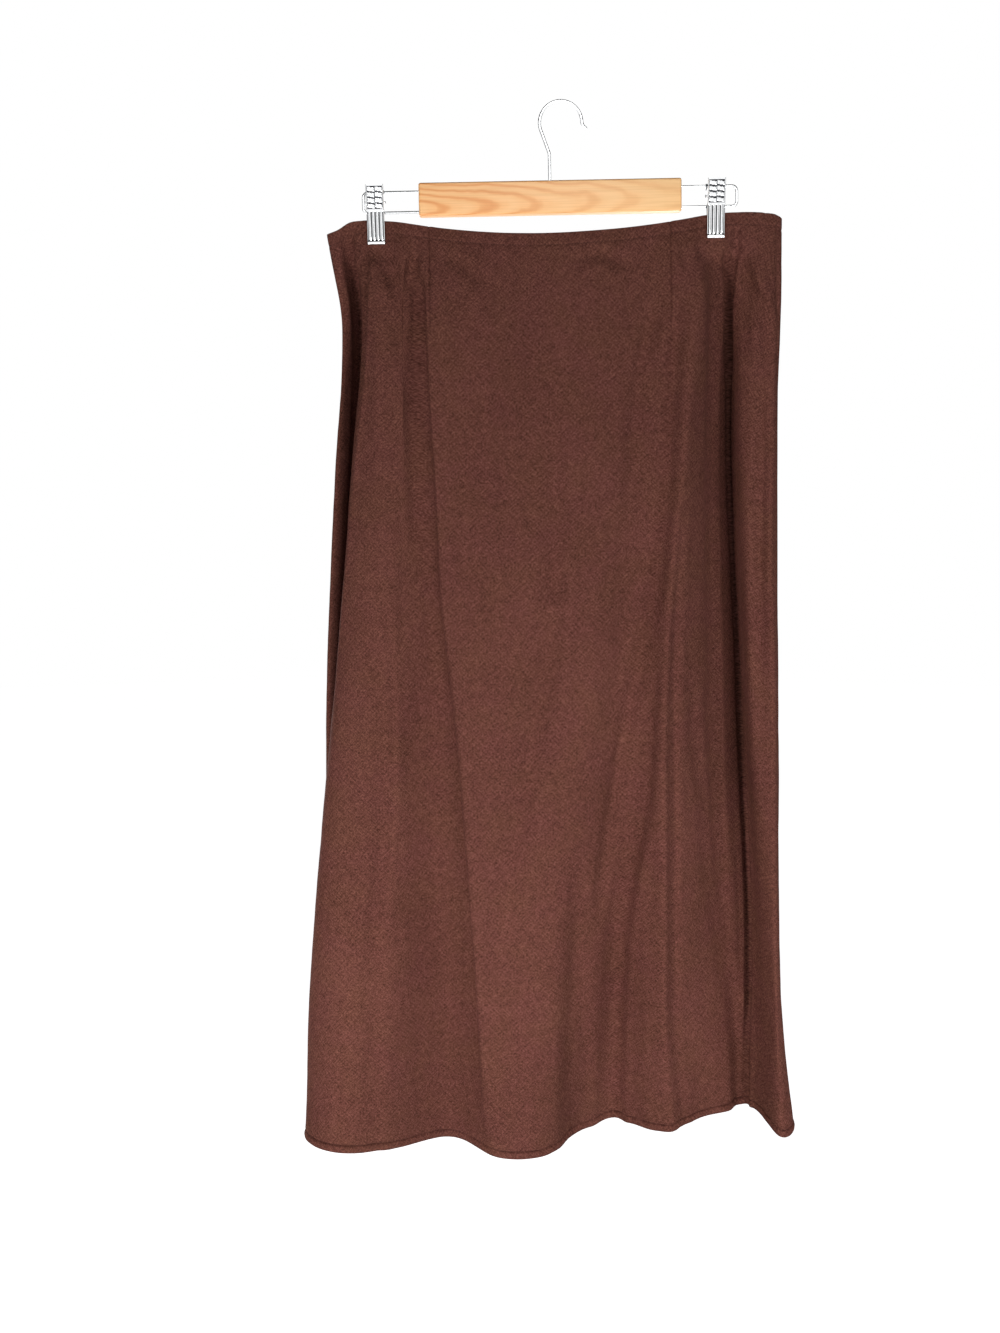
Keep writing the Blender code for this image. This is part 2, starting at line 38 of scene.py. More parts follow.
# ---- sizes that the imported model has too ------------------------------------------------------
CLOTH, TURNED_CLOTH, GAP = 1.0, 0.8, 0.3
WAIST_TURN, HEM_TURN = 11.0, 7.0
SKIRT_LENGTH = 890.0
HEM_LINE = SKIRT_LENGTH - HEM_TURN  # how far down the hem's stitching is
ZIP_TOP, ZIP_BOTTOM, ZIP_TAPE = 30.0, 200.0, 0.8
TILT = math.radians(1.08)
BAR_LENGTH, BAR_DEPTH, BAR_HEIGHT = 245.0, 12.0, 30.0
BAR_CENTRE_X, BAR_CENTRE_Z, BAR_EDGE = -10.9, -86.0, 2
HOOK_WIRE, HOOK_RADIUS, HOOK_NECK_Z, HOOK_IN_BAR = 2.8, 19.7, -46.0, 18.0
NECK_BEND, TIP_RADIUS, TIP_TURN = 7, 7.0, math.radians(54)
BOW_STEPS, TIP_STEPS = 60, 12
LOOP_WIRE, LOOP_REACH, LOOP_CORNER, LOOP_IN_BAR = 2.6, 52.0, 4.5, 22.0
LOOP_TOP_Z, LOOP_BOTTOM_Z = -78.2, -96.7
CLIP_X = {"left": -174.0, "right": 143.5}
CLIP_TOP_Z, CLIP_BOTTOM_Z, CLIP_PLATE = -73.3, -126.3, 0.8
PINCH = CLOTH + GAP + TURNED_CLOTH + GAP / 2
CLIP_SHIFT = -TILT * CLIP_BOTTOM_Z
HELD_WIDTH, FADE_WIDTH = 13.0, 9.0
HELD_HEIGHT, FADE_HEIGHT = 31.0, 12.0

# The skirt's lines run down the cloth, listed round the skirt from the left seam across the front
# and back behind it. Each has the heights of its two ends, then (across, forward) at six levels.
LEVELS = (0.0, 0.10, 0.26, 0.52, 0.84, 1.0)  # shares of the skirt's length
FRONT_ROWS = (
    ("left seam", -119.5, -1001,
     (-219, 0), (-206, -8), (-216, -22), (-229, -35), (-235, -50), (-241, -58)),
    ("left strip", -116.5, -1001,
     (-209, 3), (-201, -12), (-209, -28), (-222, -40), (-231, -46), (-237, -49)),
    ("left tuck", -109, -1001,
     (-195, 3), (-190, -31), (-199, -55), (-213, -63), (-229, -38), (-240, -28)),
    ("left ridge", -107, -1000,
     (-184, 2), (-182, 3), (-195, 4), (-219, 1), (-246, 0), (-254, -2)),
    ("ridge face", -107, -1000,
     (-178, 2), (-176, 9), (-186, 11), (-208, 15), (-231, 24), (-240, 27)),
    ("left flute", -107.5, -1000,
     (-165, 2), (-160, 13), (-164, 18), (-182, 23), (-205, 36), (-212, 42)),
    ("left slope", -108.5, -1004,
     (-150, 2), (-144, 14), (-146, 20), (-154, 23), (-161, 28), (-160, 23)),
    ("left trough", -110.5, -1006,
     (-137, 3), (-134, 5), (-131, 7), (-122, 6), (-107, -2), (-104, -10)),
    ("left dart", -113, -1009,
     (-120, 4), (-119, 13), (-113, 18), (-95, 24), (-75, 29), (-62, 31)),
    ("middle left", -118, -1011,
     (-70, 5), (-70, 13), (-68, 19), (-55, 25), (-41, 31), (-36, 31)),
    ("centre", -119, -1011,
     (-10, 6), (-10, 13), (-10, 20), (-9, 25), (-8, 27), (-8, 23)),
    ("middle right", -115.5, -1005,
     (45, 5), (45, 12), (42, 18), (30, 22), (20, 12), (20, -8)),
    ("right trough", -110.5, -997,
     (88, 4), (87, 7), (82, 9), (68, 6), (60, -14), (58, -30)),
    ("right dart", -105.5, -996,
     (118, 3), (121, 13), (115, 18), (100, 20), (98, 13), (110, 6)),
    ("right slope", -102.5, -990,
     (134, 2), (131, 12), (124, 14), (116, 14), (130, 3), (149, -18)),
    ("right lip", -101, -987,
     (145, 2), (147, -8), (146, -16), (148, -14), (166, -22), (178, -25)),
    ("right tuck", -100, -982,
     (154, 3), (165, -27), (171, -50), (186, -54), (198, -38), (197, -33)),
    ("right wall", -99.5, -986,
     (165, 2), (171, -9), (177, -12), (191, -15), (208, -9), (211, -4)),
    ("right flute", -99.5, -995,
     (180, 3), (181, -2), (188, -6), (206, -9), (217, 8), (221, 26)),
    ("right side", -100.5, -993,
     (193, 4), (194, 2), (201, -3), (214, -8), (224, -2), (236, 15)),
    ("right seam", -102, -989,
     (202, 4), (205, -1), (212, -12), (218, -24), (222, -30), (239, -10)),
)
BACK_ROWS = (
    ("right edge", -105, -988,
     (208, 0), (210, -5), (209, -20), (212, -38), (214, -49), (224, -38)),
    ("right side", -101.5, -989,
     (197, -5), (197, -17), (197, -42), (201, -60), (204, -67), (212, -66)),
    ("right flute", -100, -990,
     (172, -5), (165, -41), (171, -63), (182, -70), (188, -75), (193, -84)),
    ("right trough", -102, -994,
     (144, -3), (133, -15), (133, -13), (131, -17), (128, -24), (125, -26)),
    ("right dart", -110, -998,
     (100, -4), (100, -17), (97, -34), (93, -51), (87, -71), (80, -82)),
    ("middle right", -116, -1003,
     (50, -5), (50, -10), (50, -13), (48, -19), (42, -34), (34, -43)),
    ("centre", -120, -1008,
     (-10, -6), (-10, -20), (-12, -36), (-14, -53), (-17, -73), (-20, -84)),
    ("middle left", -118.5, -1008,
     (-70, -5), (-70, -10), (-70, -12), (-70, -16), (-70, -22), (-70, -25)),
    ("left dart", -113.5, -1005,
     (-120, -4), (-118, -18), (-118, -36), (-118, -53), (-121, -75), (-124, -86)),
    ("left trough", -109, -1003,
     (-158, -2), (-158, -9), (-159, -16), (-164, -23), (-169, -32), (-172, -36)),
    ("left flute", -110.5, -1002,
     (-192, -5), (-187, -44), (-191, -68), (-204, -77), (-215, -83), (-221, -94)),
    ("left edge", -117, -1002,
     (-209, -4), (-200, -23), (-213, -46), (-227, -58), (-232, -70), (-238, -80)),
)
Line = namedtuple("Line", "name top bottom places")
LINES = [Line(*row[:3], row[3:]) for row in FRONT_ROWS + BACK_ROWS]
RIGHT_SEAM = len(FRONT_ROWS) - 1  # the line of the right side seam; the left one is line 0

# ---- the fine surface of the cloth ------------------------------------------------------------
FRONT_COLUMNS, BACK_COLUMNS = 196, 192
ROWS = 232
# A crease is a soft trough, or a ridge where its depth is negative. reach_left and reach_right are
# how far it spreads to each side. Its points are (line, below, depth), where line 7.5 is midway
# between LINES[7] and LINES[8]. Names only say which line, crease or dart is which.
Crease = namedtuple("Crease", "name reach_left reach_right points")
CREASE_SCALE = 1.15
CREASE_ROWS = (
    # under the left clip
    ("clip crease, left", 7, 6, ((5.2, 34, 1.0), (5.3, 41, 4.0), (5.5, 54, 6.4), (5.8, 72, 6.0),
        (5.95, 100, 3.6), (6.0, 150, 1.0))),
    ("clip crease, right", 4, 4, ((7.05, 26, 1.0), (6.94, 34, 4.2), (6.52, 52, 6.0),
        (6.14, 72, 4.4), (5.98, 90, 0.5))),
    ("cloth pulled by the left clip", 11, 11, ((5.0, 45, 2.0), (5.5, 46, 2.4), (5.95, 45, 2.0))),
    ("cloth pulled by the right clip", 11, 11, ((14.3, 45, 1.6), (14.8, 46, 2.0), (15.3, 45, 1.6))),
    ("clip wedge", 9, 8, ((5.3, 56, 0.8), (5.3, 76, 3.9), (5.4, 116, 2.6), (5.5, 170, 0.4))),
    ("left face, upper", 9, 8, ((5.1, 120, 0.2), (5.3, 170, 1.6), (5.64, 220, 2.2),
        (5.82, 276, 2.0), (6.04, 350, 1.4), (6.0, 430, 0.2))),
    ("left gap", 6, 6, ((1.7, 4, 1.2), (1.6, 24, 4.0), (1.6, 55, 5.0), (1.6, 110, 4.5),
        (1.6, 200, 4.5), (1.95, 320, 4.0), (1.95, 420, 0.8))),
    ("left gap's ridge", 6, 4, ((3.0, 4, 1.5), (3.1, 22, 5.0), (2.95, 60, 8.0), (2.9, 200, 8.5),
        (2.9, 350, 5.0), (2.9, 460, 0.4))),
    ("left face, broad", 14, 12, ((5.9, 50, 1.0), (6.0, 110, 5.2), (6.1, 220, 5.2), (6.1, 320, 2.9),
        (6.2, 400, 0.5))),
    # down the left dart
    ("left trough, upper", 13, 4, ((7.15, 42, 1.1), (7.28, 62, 4.9), (7.40, 106, 6.2),
        (7.42, 148, 5.9), (7.48, 188, 5.7), (7.52, 250, 4.9), (7.50, 318, 4.1), (7.52, 370, 3.2),
        (7.60, 430, 1.4))),
    ("left of that trough", 10, 6, ((6.45, 96, 0.4), (6.50, 170, 2.2), (6.62, 256, 2.6),
        (6.50, 330, 1.7), (6.40, 410, 0.4))),
    ("by the left dart", 5, 4, ((8.26, 230, 0.2), (8.34, 276, 1.7), (8.40, 320, 0.2))),
    # drag lines from the clips across the middle
    ("left drag", 5, 6, ((8.30, 26, 0.4), (8.62, 32, 2.2), (8.92, 46, 2.6), (9.20, 66, 0.4))),
    ("left drag, lower", 6, 6, ((8.5, 62, 0.2), (8.9, 92, 1.4), (9.2, 130, 0.2))),
    ("right drag", 6, 6, ((11.5, 36, 0.4), (11.2, 30, 2.1), (10.8, 22, 2.3), (10.4, 28, 0.5))),
    ("middle dip", 12, 12, ((9.36, 14, 0.6), (9.35, 44, 2.2), (9.45, 96, 0.3))),
    ("left of the right dart", 5, 8, ((12.2, 72, 0.5), (11.90, 98, 3.1), (11.74, 124, 3.4),
        (11.68, 162, 2.9), (11.64, 208, 2.1), (11.62, 270, 0.5))),
    ("middle, upper", 10, 9, ((10.10, 100, 0.5), (10.10, 170, 2.6), (10.12, 248, 3.6),
        (10.10, 330, 3.6))),
    ("middle, slanted", 4, 4, ((9.80, 185, 0.2), (9.62, 226, 2.4), (9.50, 262, 0.2))),
    # down the right dart, then slanting left across the knee
    ("by the right dart", 6, 8, ((12.66, 60, 0.4), (12.60, 90, 2.9), (12.56, 122, 5.1),
        (12.54, 174, 5.3), (12.54, 256, 5.1), (12.42, 340, 4.4), (12.2, 412, 3.7),
        (11.98, 464, 3.3), (11.72, 534, 3.1), (11.48, 632, 2.4), (11.36, 690, 0.4))),
    ("right trough, lower", 12, 7, ((12.70, 250, 0.5), (12.62, 316, 2.4), (12.60, 394, 3.5),
        (12.62, 464, 4.1), (12.52, 554, 4.3), (12.24, 630, 4.9), (12.08, 686, 5.1),
        (12.06, 784, 4.9), (12.08, 888, 4.6))),
    ("soft pair, left", 9, 8, ((11.20, 560, 0.3), (11.10, 640, 2.5), (11.14, 722, 3.4),
        (11.22, 832, 3.1), (11.2, 888, 2.5))),
    ("right crest", 7, 6, ((12.90, 420, 0.2), (13.06, 510, -2.6), (13.2, 588, -3.1),
        (13.24, 700, -3.1), (13.2, 800, -2.9), (13.16, 888, -2.2))),
    ("right of that crest", 5, 5, ((13.30, 250, 0.4), (13.52, 340, 1.7), (13.66, 420, 2.6),
        (13.64, 522, 2.9), (13.56, 652, 2.9), (13.48, 826, 2.2), (13.5, 888, 1.4))),
    ("right slope streak", 5, 6, ((14.40, 440, 0.4), (14.54, 510, 2.9), (14.72, 562, 3.1),
        (14.70, 624, 3.1), (14.90, 690, 2.3), (15.0, 740, 0.4))),
    ("right slope, second streak", 3, 4, ((15.24, 490, 0.2), (15.2, 540, 1.6), (15.18, 600, 1.4),
        (15.1, 650, 0.2))),
    ("right foot fold", 7, 5, ((15.44, 740, 0.4), (15.52, 785, 3.6), (15.62, 832, 4.5),
        (15.62, 888, 4.2))),
    # lower left
    ("left flute, lower", 10, 6, ((5.24, 360, 0.5), (5.40, 410, 3.2), (5.64, 484, 4.3),
        (5.70, 590, 4.3), (5.64, 678, 3.8), (5.64, 756, 2.7), (5.7, 884, 1.6))),
    ("left trough, lower", 15, 5, ((7.56, 380, 1.4), (7.66, 446, 3.7), (7.74, 526, 5.1),
        (7.78, 614, 5.8), (7.80, 712, 6.0), (7.74, 790, 4.2), (7.66, 860, 0.8))),
    ("left crest, lower", 7, 9, ((8.20, 400, -0.6), (8.10, 498, -2.0), (8.06, 600, -2.6),
        (8.04, 720, -2.8), (7.96, 870, -0.3))),
    ("middle band", 12, 9, ((10.10, 322, 1.6), (10.02, 380, 4.9), (9.92, 416, 5.2),
        (9.58, 502, 5.5), (9.18, 580, 4.9), (8.84, 652, 3.1), (8.64, 720, 0.4))),
    ("middle band's foot", 10, 9, ((9.3, 640, 0.3), (9.1, 720, 2.0), (9.0, 800, 1.7),
        (9.0, 870, 0.4))),
    ("middle, lower", 11, 8, ((10.8, 560, 0.4), (10.86, 640, 2.2), (10.86, 700, 3.4),
        (10.82, 780, 3.6), (10.90, 884, 3.4))),
    # the right side fold
    ("right tuck's line", 3, 3, ((16.0, 70, 0.6), (16.0, 120, 3.4), (16.0, 500, 4.4),
        (16.0, 888, 4.8))),
    ("right fold's start", 6, 5, ((16.75, 2, 1.4), (16.7, 16, 3.6), (16.5, 30, 5.4),
        (16.25, 44, 7.0), (16.1, 60, 7.0), (16.02, 94, 5.0), (16.0, 150, 1.0))),
    ("right fold's shadow", 9, 8, ((16.9, 34, 1.0), (17.1, 56, 4.4), (17.3, 84, 4.4),
        (17.4, 120, 1.6))),
    ("right lip, drawn in", 12, 6, ((15.1, 50, 2.0), (15.1, 100, 5.1), (15.2, 300, 6.1),
        (15.2, 560, 5.4), (15.3, 760, 3.4), (15.3, 860, 0.7))),
    ("right fold, upper", 7, 6, ((17.14, 36, 1.0), (17.6, 54, 4.7), (18.2, 74, 5.5),
        (18.96, 100, 4.2), (19.2, 130, 0.8))),
    ("right side, streak", 6, 5, ((19.1, 100, 0.5), (18.9, 130, 3.1), (18.64, 208, 4.3),
        (18.30, 284, 4.3), (17.9, 350, 3.4), (17.6, 440, 1.9), (17.5, 540, 0.4))),
    ("right edge, streak", 4, 4, ((19.4, 380, 0.2), (19.2, 500, 1.6), (19.1, 640, 1.6),
        (19.0, 760, 0.3))),
    ("waist nick, inner", 2, 2, ((18.9, -4, 1.4), (18.95, 6, 1.2), (19.0, 14, 0.1))),
    ("waist nick, outer", 2, 2, ((19.5, -4, 1.8), (19.42, 8, 1.4), (19.36, 18, 0.1))),
    # the back
    ("back cloth pulled by the right clip", 11, 11, ((22.7, 48, 1.6), (23.2, 49, 2.6),
        (23.8, 48, 1.6))),
    ("back cloth pulled by the left clip", 11, 11, ((30.2, 48, 1.6), (30.6, 49, 2.6),
        (31.1, 48, 1.6))),
    ("back right clip, left", 5, 5, ((24.6, 32, 0.4), (24.3, 54, 2.6), (24.1, 88, 0.6))),
    ("back right clip, right", 5, 5, ((23.2, 32, 0.4), (23.6, 54, 2.6), (23.8, 94, 0.6))),
    ("back left clip, left", 5, 5, ((30.9, 32, 0.4), (30.6, 56, 2.6), (30.4, 92, 0.6))),
    ("back left clip, right", 5, 5, ((29.4, 32, 0.4), (29.7, 52, 2.4), (30.0, 84, 0.6))),
    ("back right trough", 8, 7, ((24.1, 110, 0.4), (24.0, 220, 2.8), (24.1, 380, 2.8),
        (23.9, 560, 3.2), (24.0, 740, 3.4), (24.0, 888, 3.4))),
    ("back right dart", 6, 8, ((25.1, 110, 0.3), (25.2, 210, 2.2), (25.0, 330, 2.4),
        (25.1, 450, 0.3))),
    ("back middle, right", 8, 8, ((26.1, 180, 0.3), (26.0, 300, 2.4), (26.2, 460, 2.4),
        (26.0, 640, 3.0), (26.1, 888, 3.2))),
    ("back middle, upper", 6, 7, ((26.8, 60, 0.2), (26.9, 150, 1.8), (26.7, 260, 1.6),
        (26.8, 330, 0.2))),
    ("back middle, left", 9, 7, ((28.0, 120, 0.3), (28.1, 260, 2.4), (27.9, 420, 2.6),
        (28.0, 600, 3.0), (28.1, 888, 3.2))),
    ("back left dart", 6, 6, ((29.0, 130, 0.3), (28.9, 230, 2.0), (29.1, 360, 2.4),
        (29.0, 520, 0.3))),
    ("back left trough", 7, 8, ((30.0, 100, 0.4), (30.1, 240, 2.8), (29.9, 420, 3.0),
        (30.0, 610, 3.2), (30.1, 888, 3.4))),
    ("back left flute", 6, 6, ((31.0, 380, 0.2), (31.1, 520, 2.0), (31.0, 700, 2.2),
        (30.9, 800, 0.2))),
    ("back right flute", 6, 6, ((23.0, 300, 0.2), (22.9, 470, 2.2), (23.0, 640, 2.0),
        (23.1, 780, 0.2))),
    ("back middle, lower", 7, 7, ((27.2, 560, 0.2), (27.1, 700, 2.2), (27.3, 888, 2.0))),
)
CREASES = [Crease(*row) for row in CREASE_ROWS]
CREASE_LIMIT = 3.2  # how many reaches away a crease ends
# The rise beside a crease: its height, place and width, as shares of the depth and the reach.
SHOULDER_HEIGHT, SHOULDER_AT, SHOULDER_WIDTH = 0.22, 1.9, 0.7
# A dart is a narrow groove sewn into the cloth along a line, from the waist down to its point.
Dart = namedtuple("Dart", "name line point")
DARTS = (
    Dart("left", 7.87, 118), Dart("right", 12.47, 122),
    Dart("back right", 25.3, 130), Dart("back left", 28.7, 130),
)
DART_DEPTH, DART_HALF_WIDTH, DART_FADE = 1.2, 0.7, 30
DART_PUFF = (0.45, 4, 3.0)  # how high and far aside the cloth puffs beside a dart, and how wide
DART_COLUMNS = (0.011, 0.026, 0.052, 0.095, 0.155)  # extra columns to each side, in lines
DART_CLEARANCE = 0.19
TURN_WEIGHT = 28  # how much closer columns are where the form turns
WAVE_ROUNDING = 14  # reach of the rounding of the waves near the hem
WAVES_FROM, WAVES_FADE = 740, 140
SEAM_KEPT, SEAM_FADE = 4, 30  # how near the side seams the waves stay as they are
SEAM_ROLL, SEAM_ROLL_WIDTH = 0.9, 2.2  # how far the cloth dips at a side seam
SEAM_GAP = 0.1
# How far the stitching pulls the cloth in, and how wide.
WAIST_GROOVE, HEM_GROOVE = (0.6, 1.3), (2.8, 0.75)
THREAD_PULL, PULL_CHANGE, PULL_SIZE = 0.75, 0.5, 16  # how it changes along the stitching
HEM_PUFF = (0.7, 3.8, 2.0)  # height of the puff below the hem's stitching, its place and width
FRONT_BACK_ROOM = (0.6, 0.3)  # the shares of the room between front and back that each may take
LEAST_APART, LEAST_ROOM = 0.7, 0.02  # what is kept between them, and what each has at least
TURN_MARGIN = 3  # how far past the turned edges their thickness counts
# How much of the creases a clip presses out, to each side of its middle and past that.
CLIP_PRESSES, PRESSED_WIDTH, PRESSED_FADE = 0.85, 8.0, 5.0
TURN_INSET = 4  # columns by which a turned edge stops short of the panel's sides
EDGE_RADIUS = CLOTH * 0.45
# Height, size and how many times longer than wide the lumps of the crumpled linen are.
CRUMPLES = ((0.9, 70, 3.5), (0.45, 30, 2.0), (0.16, 11, 1.4))
HEM_RIPPLE = (0.5, 13, 14)  # height, size, and how far from the hem's stitching it reaches
RIPPLE_SEED, PULL_SEED = 4, 5  # after those of the three crumples
SEED_STEP = 17.3  # how far apart in the noise two seeds read
STITCH_PITCH, STITCH = 2.8, (2.2, 0.36)  # a stitch's length and thickness
STITCH_DIP, STITCH_LEAN = 0.3, 0.10
ZIP_TOOTH_PITCH, ZIP_TOOTH, ZIP_CLEARANCE = 1.4, (3.4, 0.9), 1.2
TEETH_TOP, TEETH_BOTTOM = ZIP_TOP + 2, ZIP_BOTTOM - 1  # where the teeth start and stop
TOOTH_SUNK, TOOTH_DIP = 0.1, 0.2  # how far a tooth sits in the tape, and its ends bend in
SLIDER_WIDTH, SLIDER_THICKNESS, SLIDER_HEIGHT, SLIDER_SIDES = 4.0, 1.6, 8.0, 16
SLIDER_DROP = 1.0  # how far below the tape's top the slider starts
# How far down the slider, and how wide it is there, as shares of its height and width.
SLIDER_OUTLINE = ((0, 0.62), (0.06, 0.74), (0.35, 1.0), (0.8, 0.72), (1, 0.55))
PULL_RADIUS, PULL_THICKNESS, PULL_LONGER = 1.5, 0.6, 2.6
PULL_BEHIND, PULL_DROP = 1.5, 8.0


# ---- small helpers ----------------------------------------------------------------------------
def ease(x):
    """0 below 0, 1 above 1, and smooth between."""
    x = np.clip(x, 0.0, 1.0)
    return x * x * (3 - 2 * x)


def bell(x):
    """1 at 0, falling smoothly to 0 on both sides."""
    return np.exp(-(x**2))


def along(values, shares):
    """Reads values that are given at LEVELS, with no overshoot between them."""
    values, levels = np.array(values, float), np.array(LEVELS)
    steps = np.diff(levels)
    rises = np.diff(values) / steps
    slopes = [rises[0]]
    for before, after in zip(rises, rises[1:]):
        slopes.append(0.0 if before * after <= 0 else 2 * before * after / (before + after))
    slopes = np.array(slopes + [rises[-1]])
    i = np.clip(np.searchsorted(levels, shares, side="right") - 1, 0, len(steps) - 1)
    u = (shares - levels[i]) / steps[i]
    return curve(u, values[i], slopes[i] * steps[i], values[i + 1], slopes[i + 1] * steps[i])


def curve(u, start, leave, end, arrive):
    """A smooth curve between two values with the slopes given, at shares u of the way."""
    there = u * u * (3 - 2 * u)
    bow = leave * (u * (1 - u) ** 2) - arrive * (u * u * (1 - u))
    return start * (1 - there) + end * there + bow


def unit(vectors):
    """Each vector at length 1."""
    return vectors / np.maximum(np.linalg.norm(vectors, axis=-1, keepdims=True), 1e-9)


def noise_at(points, size, seed, stretch=(1, 1, 1)):
    """Smooth noise from -1 to 1, whose lumps are about size across, at an array of points."""
    scaled = points / size / np.array(stretch, float) + seed * SEED_STEP
    flat = [noise.noise(Vector(p)) for p in scaled.reshape(-1, 3)]
    return np.array(flat).reshape(points.shape[:-1])


def link(name, data, material):
    """Adds an object for a mesh or curve, riding on the one body."""
    data.materials.append(material)
    piece = bpy.data.objects.new(name, data)
    bpy.context.scene.collection.objects.link(piece)
    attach(piece, "root")
    return piece


def shade_smooth(mesh, degrees=40):
    """Shades smooth, with edges sharper than the angle kept sharp."""
    mesh.shade_smooth()
    mesh.set_sharp_from_angle(angle=math.radians(degrees))


def mesh_from(name, shape):
    """Turns a bmesh into a mesh, and frees it."""
    mesh = bpy.data.meshes.new(name)
    shape.to_mesh(mesh)
    shape.free()
    return mesh


def mesh_of(name, points, faces):
    """A mesh from points in millimetres."""
    mesh = bpy.data.meshes.new(name)
    mesh.from_pydata((np.array(points) * MM).tolist(), [], faces)
    return mesh


def tube_faces(first, rings, sides):
    """The faces of a closed bar whose rings of points are numbered one after another."""
    last = first + (rings - 1) * sides
    faces = [[first + k for k in reversed(range(sides))], [last + k for k in range(sides)]]
    for ring in range(first, last, sides):
        for k in range(sides):
            after = (k + 1) % sides
            faces.append([ring + k, ring + after, ring + after + sides, ring + k + sides])
    return faces


# ---- the form of the cloth --------------------------------------------------------------------
def line_corners(shares):
    """Where every line is at each share of the length: an array of rows, lines and x, y, z."""
    corners = np.empty((len(shares), len(LINES), 3))
    for i, line in enumerate(LINES):
        across, forward = zip(*line.places)
        corners[:, i, 0] = along(across, shares)
        corners[:, i, 1] = -along(forward, shares)
        corners[:, i, 2] = line.top + (line.bottom - line.top) * shares
    return corners


def form(shares, places):
    """The cloth's plain form at rows (shares of the length) and columns (places in lines)."""
    corners = line_corners(shares)
    first = np.floor(places).astype(int)
    u = (places - first)[None, :, None]
    before, start, end, after = (corners[:, (first + k) % len(LINES)] for k in (-1, 0, 1, 2))
    first_gap, gap, last_gap = (
        np.maximum(np.linalg.norm(b - a, axis=-1, keepdims=True), 1e-6) ** 0.5
        for a, b in ((before, start), (start, end), (end, after))
    )
    leave = (start - before) / first_gap - (end - before) / (first_gap + gap) + (end - start) / gap
    arrive = (end - start) / gap - (after - start) / (gap + last_gap) + (after - end) / last_gap
    points = curve(u, start, leave * gap, end, arrive * gap)
    hold = clip_hold(points[..., 0], shares[:, None] * SKIRT_LENGTH)
    side = np.where(first < RIGHT_SEAM, -1.0, 1.0)[None, :]
    points[..., 1] += (side * PINCH - points[..., 1]) * hold
    return points


def clip_hold(across, below, held=HELD_WIDTH, fade=FADE_WIDTH):
    """How firmly the nearer clip holds the cloth at a place, from 0 to 1."""
    aside = np.min([abs(across - x - CLIP_SHIFT) for x in CLIP_X.values()], axis=0)
    level = ease((HELD_HEIGHT + FADE_HEIGHT - below) / FADE_HEIGHT)
    return ease((held + fade - aside) / fade) * level


def spread(fine, steps, count):
    """Picks values from a fine row so that the steps between them add up evenly."""
    total = np.concatenate([[0], np.cumsum(steps)])
    return np.interp(np.linspace(0, total[-1], count), total, fine)


def row_depths():
    """How far below the waist edge each row of points is, closest at the stitching and edges."""
    edge = np.array([0.0, 0.12, 0.35, 0.8])
    groove = np.array([-3.0, -1.8, -1.0, -0.5, 0.0, 0.5, 1.0, 1.8, 3.0])
    turned = [3, 5.5, SKIRT_LENGTH - 2.5]
    fixed = [edge, SKIRT_LENGTH - edge, WAIST_TURN + groove, HEM_LINE + groove, turned]
    fixed = np.concatenate(fixed)
    margin, top_closer, top_reach = 5, 0.9, 130
    fine = np.linspace(WAIST_TURN + margin, HEM_LINE - margin, 4001)
    closer_at_top = 1 + top_closer * np.exp(-(fine[1:] + fine[:-1]) / 2 / top_reach)
    return np.sort(np.concatenate([fixed, spread(fine, closer_at_top, ROWS - len(fixed))]))


def column_places(low, high, count):
    """Columns spread evenly over the cloth, but closer at darts and where the form turns."""
    fine = np.linspace(low, high, 801)
    levels = form(np.array([0.15, 0.4, 0.7, 0.95]), fine)
    steps = np.linalg.norm(np.diff(levels, axis=1), axis=-1).mean(0)
    ways = unit(np.diff(levels, axis=1))
    turns = np.arccos(np.clip((ways[:, 1:] * ways[:, :-1]).sum(-1), -1, 1)).max(0)
    window = np.hanning(25) / np.hanning(25).sum()
    turns = np.convolve(np.concatenate([[0], turns]), window, "same")
    places = spread(fine, steps + turns * TURN_WEIGHT, count)
    for dart in DARTS:
        if low < dart.line < high:
            closer = np.array(DART_COLUMNS)
            places = places[abs(places - dart.line) > DART_CLEARANCE]
            places = np.concatenate([places, dart.line - closer, [dart.line], dart.line + closer])
    return np.sort(places)


Cloth = namedtuple("Cloth", "below places points normals across seam")


def ring_normals(points):
    """The outward normal at each point of rows that close round the skirt."""
    after = unit(np.roll(points, -1, axis=1) - points)
    before = unit(points - np.roll(points, 1, axis=1))
    down = np.gradient(points, axis=0)
    return unit(np.cross(down, after + before))


def eased_round(points, strength, seam):
    """Rows with the corners of their waves rounded, but not at the side seams."""
    steps = np.linalg.norm(np.roll(points, -1, axis=1) - points, axis=-1)
    length = (np.cumsum(steps, axis=1) - steps).mean(0)
    around = steps.sum(1).mean()
    apart = length[:, None] - length
    apart = (apart + around / 2) % around - around / 2
    weights = bell(apart / WAVE_ROUNDING) * (steps + np.roll(steps, 1, axis=1)).mean(0)
    weights /= weights.sum(1, keepdims=True)
    smooth = np.einsum("ab,rbk->rak", weights, points)
    from_seam = np.minimum.reduce([length, around - length, abs(length - length[seam])])
    share = strength[:, None] * ease((from_seam - SEAM_KEPT) / SEAM_FADE)
    return points + (smooth - points) * share[..., None]


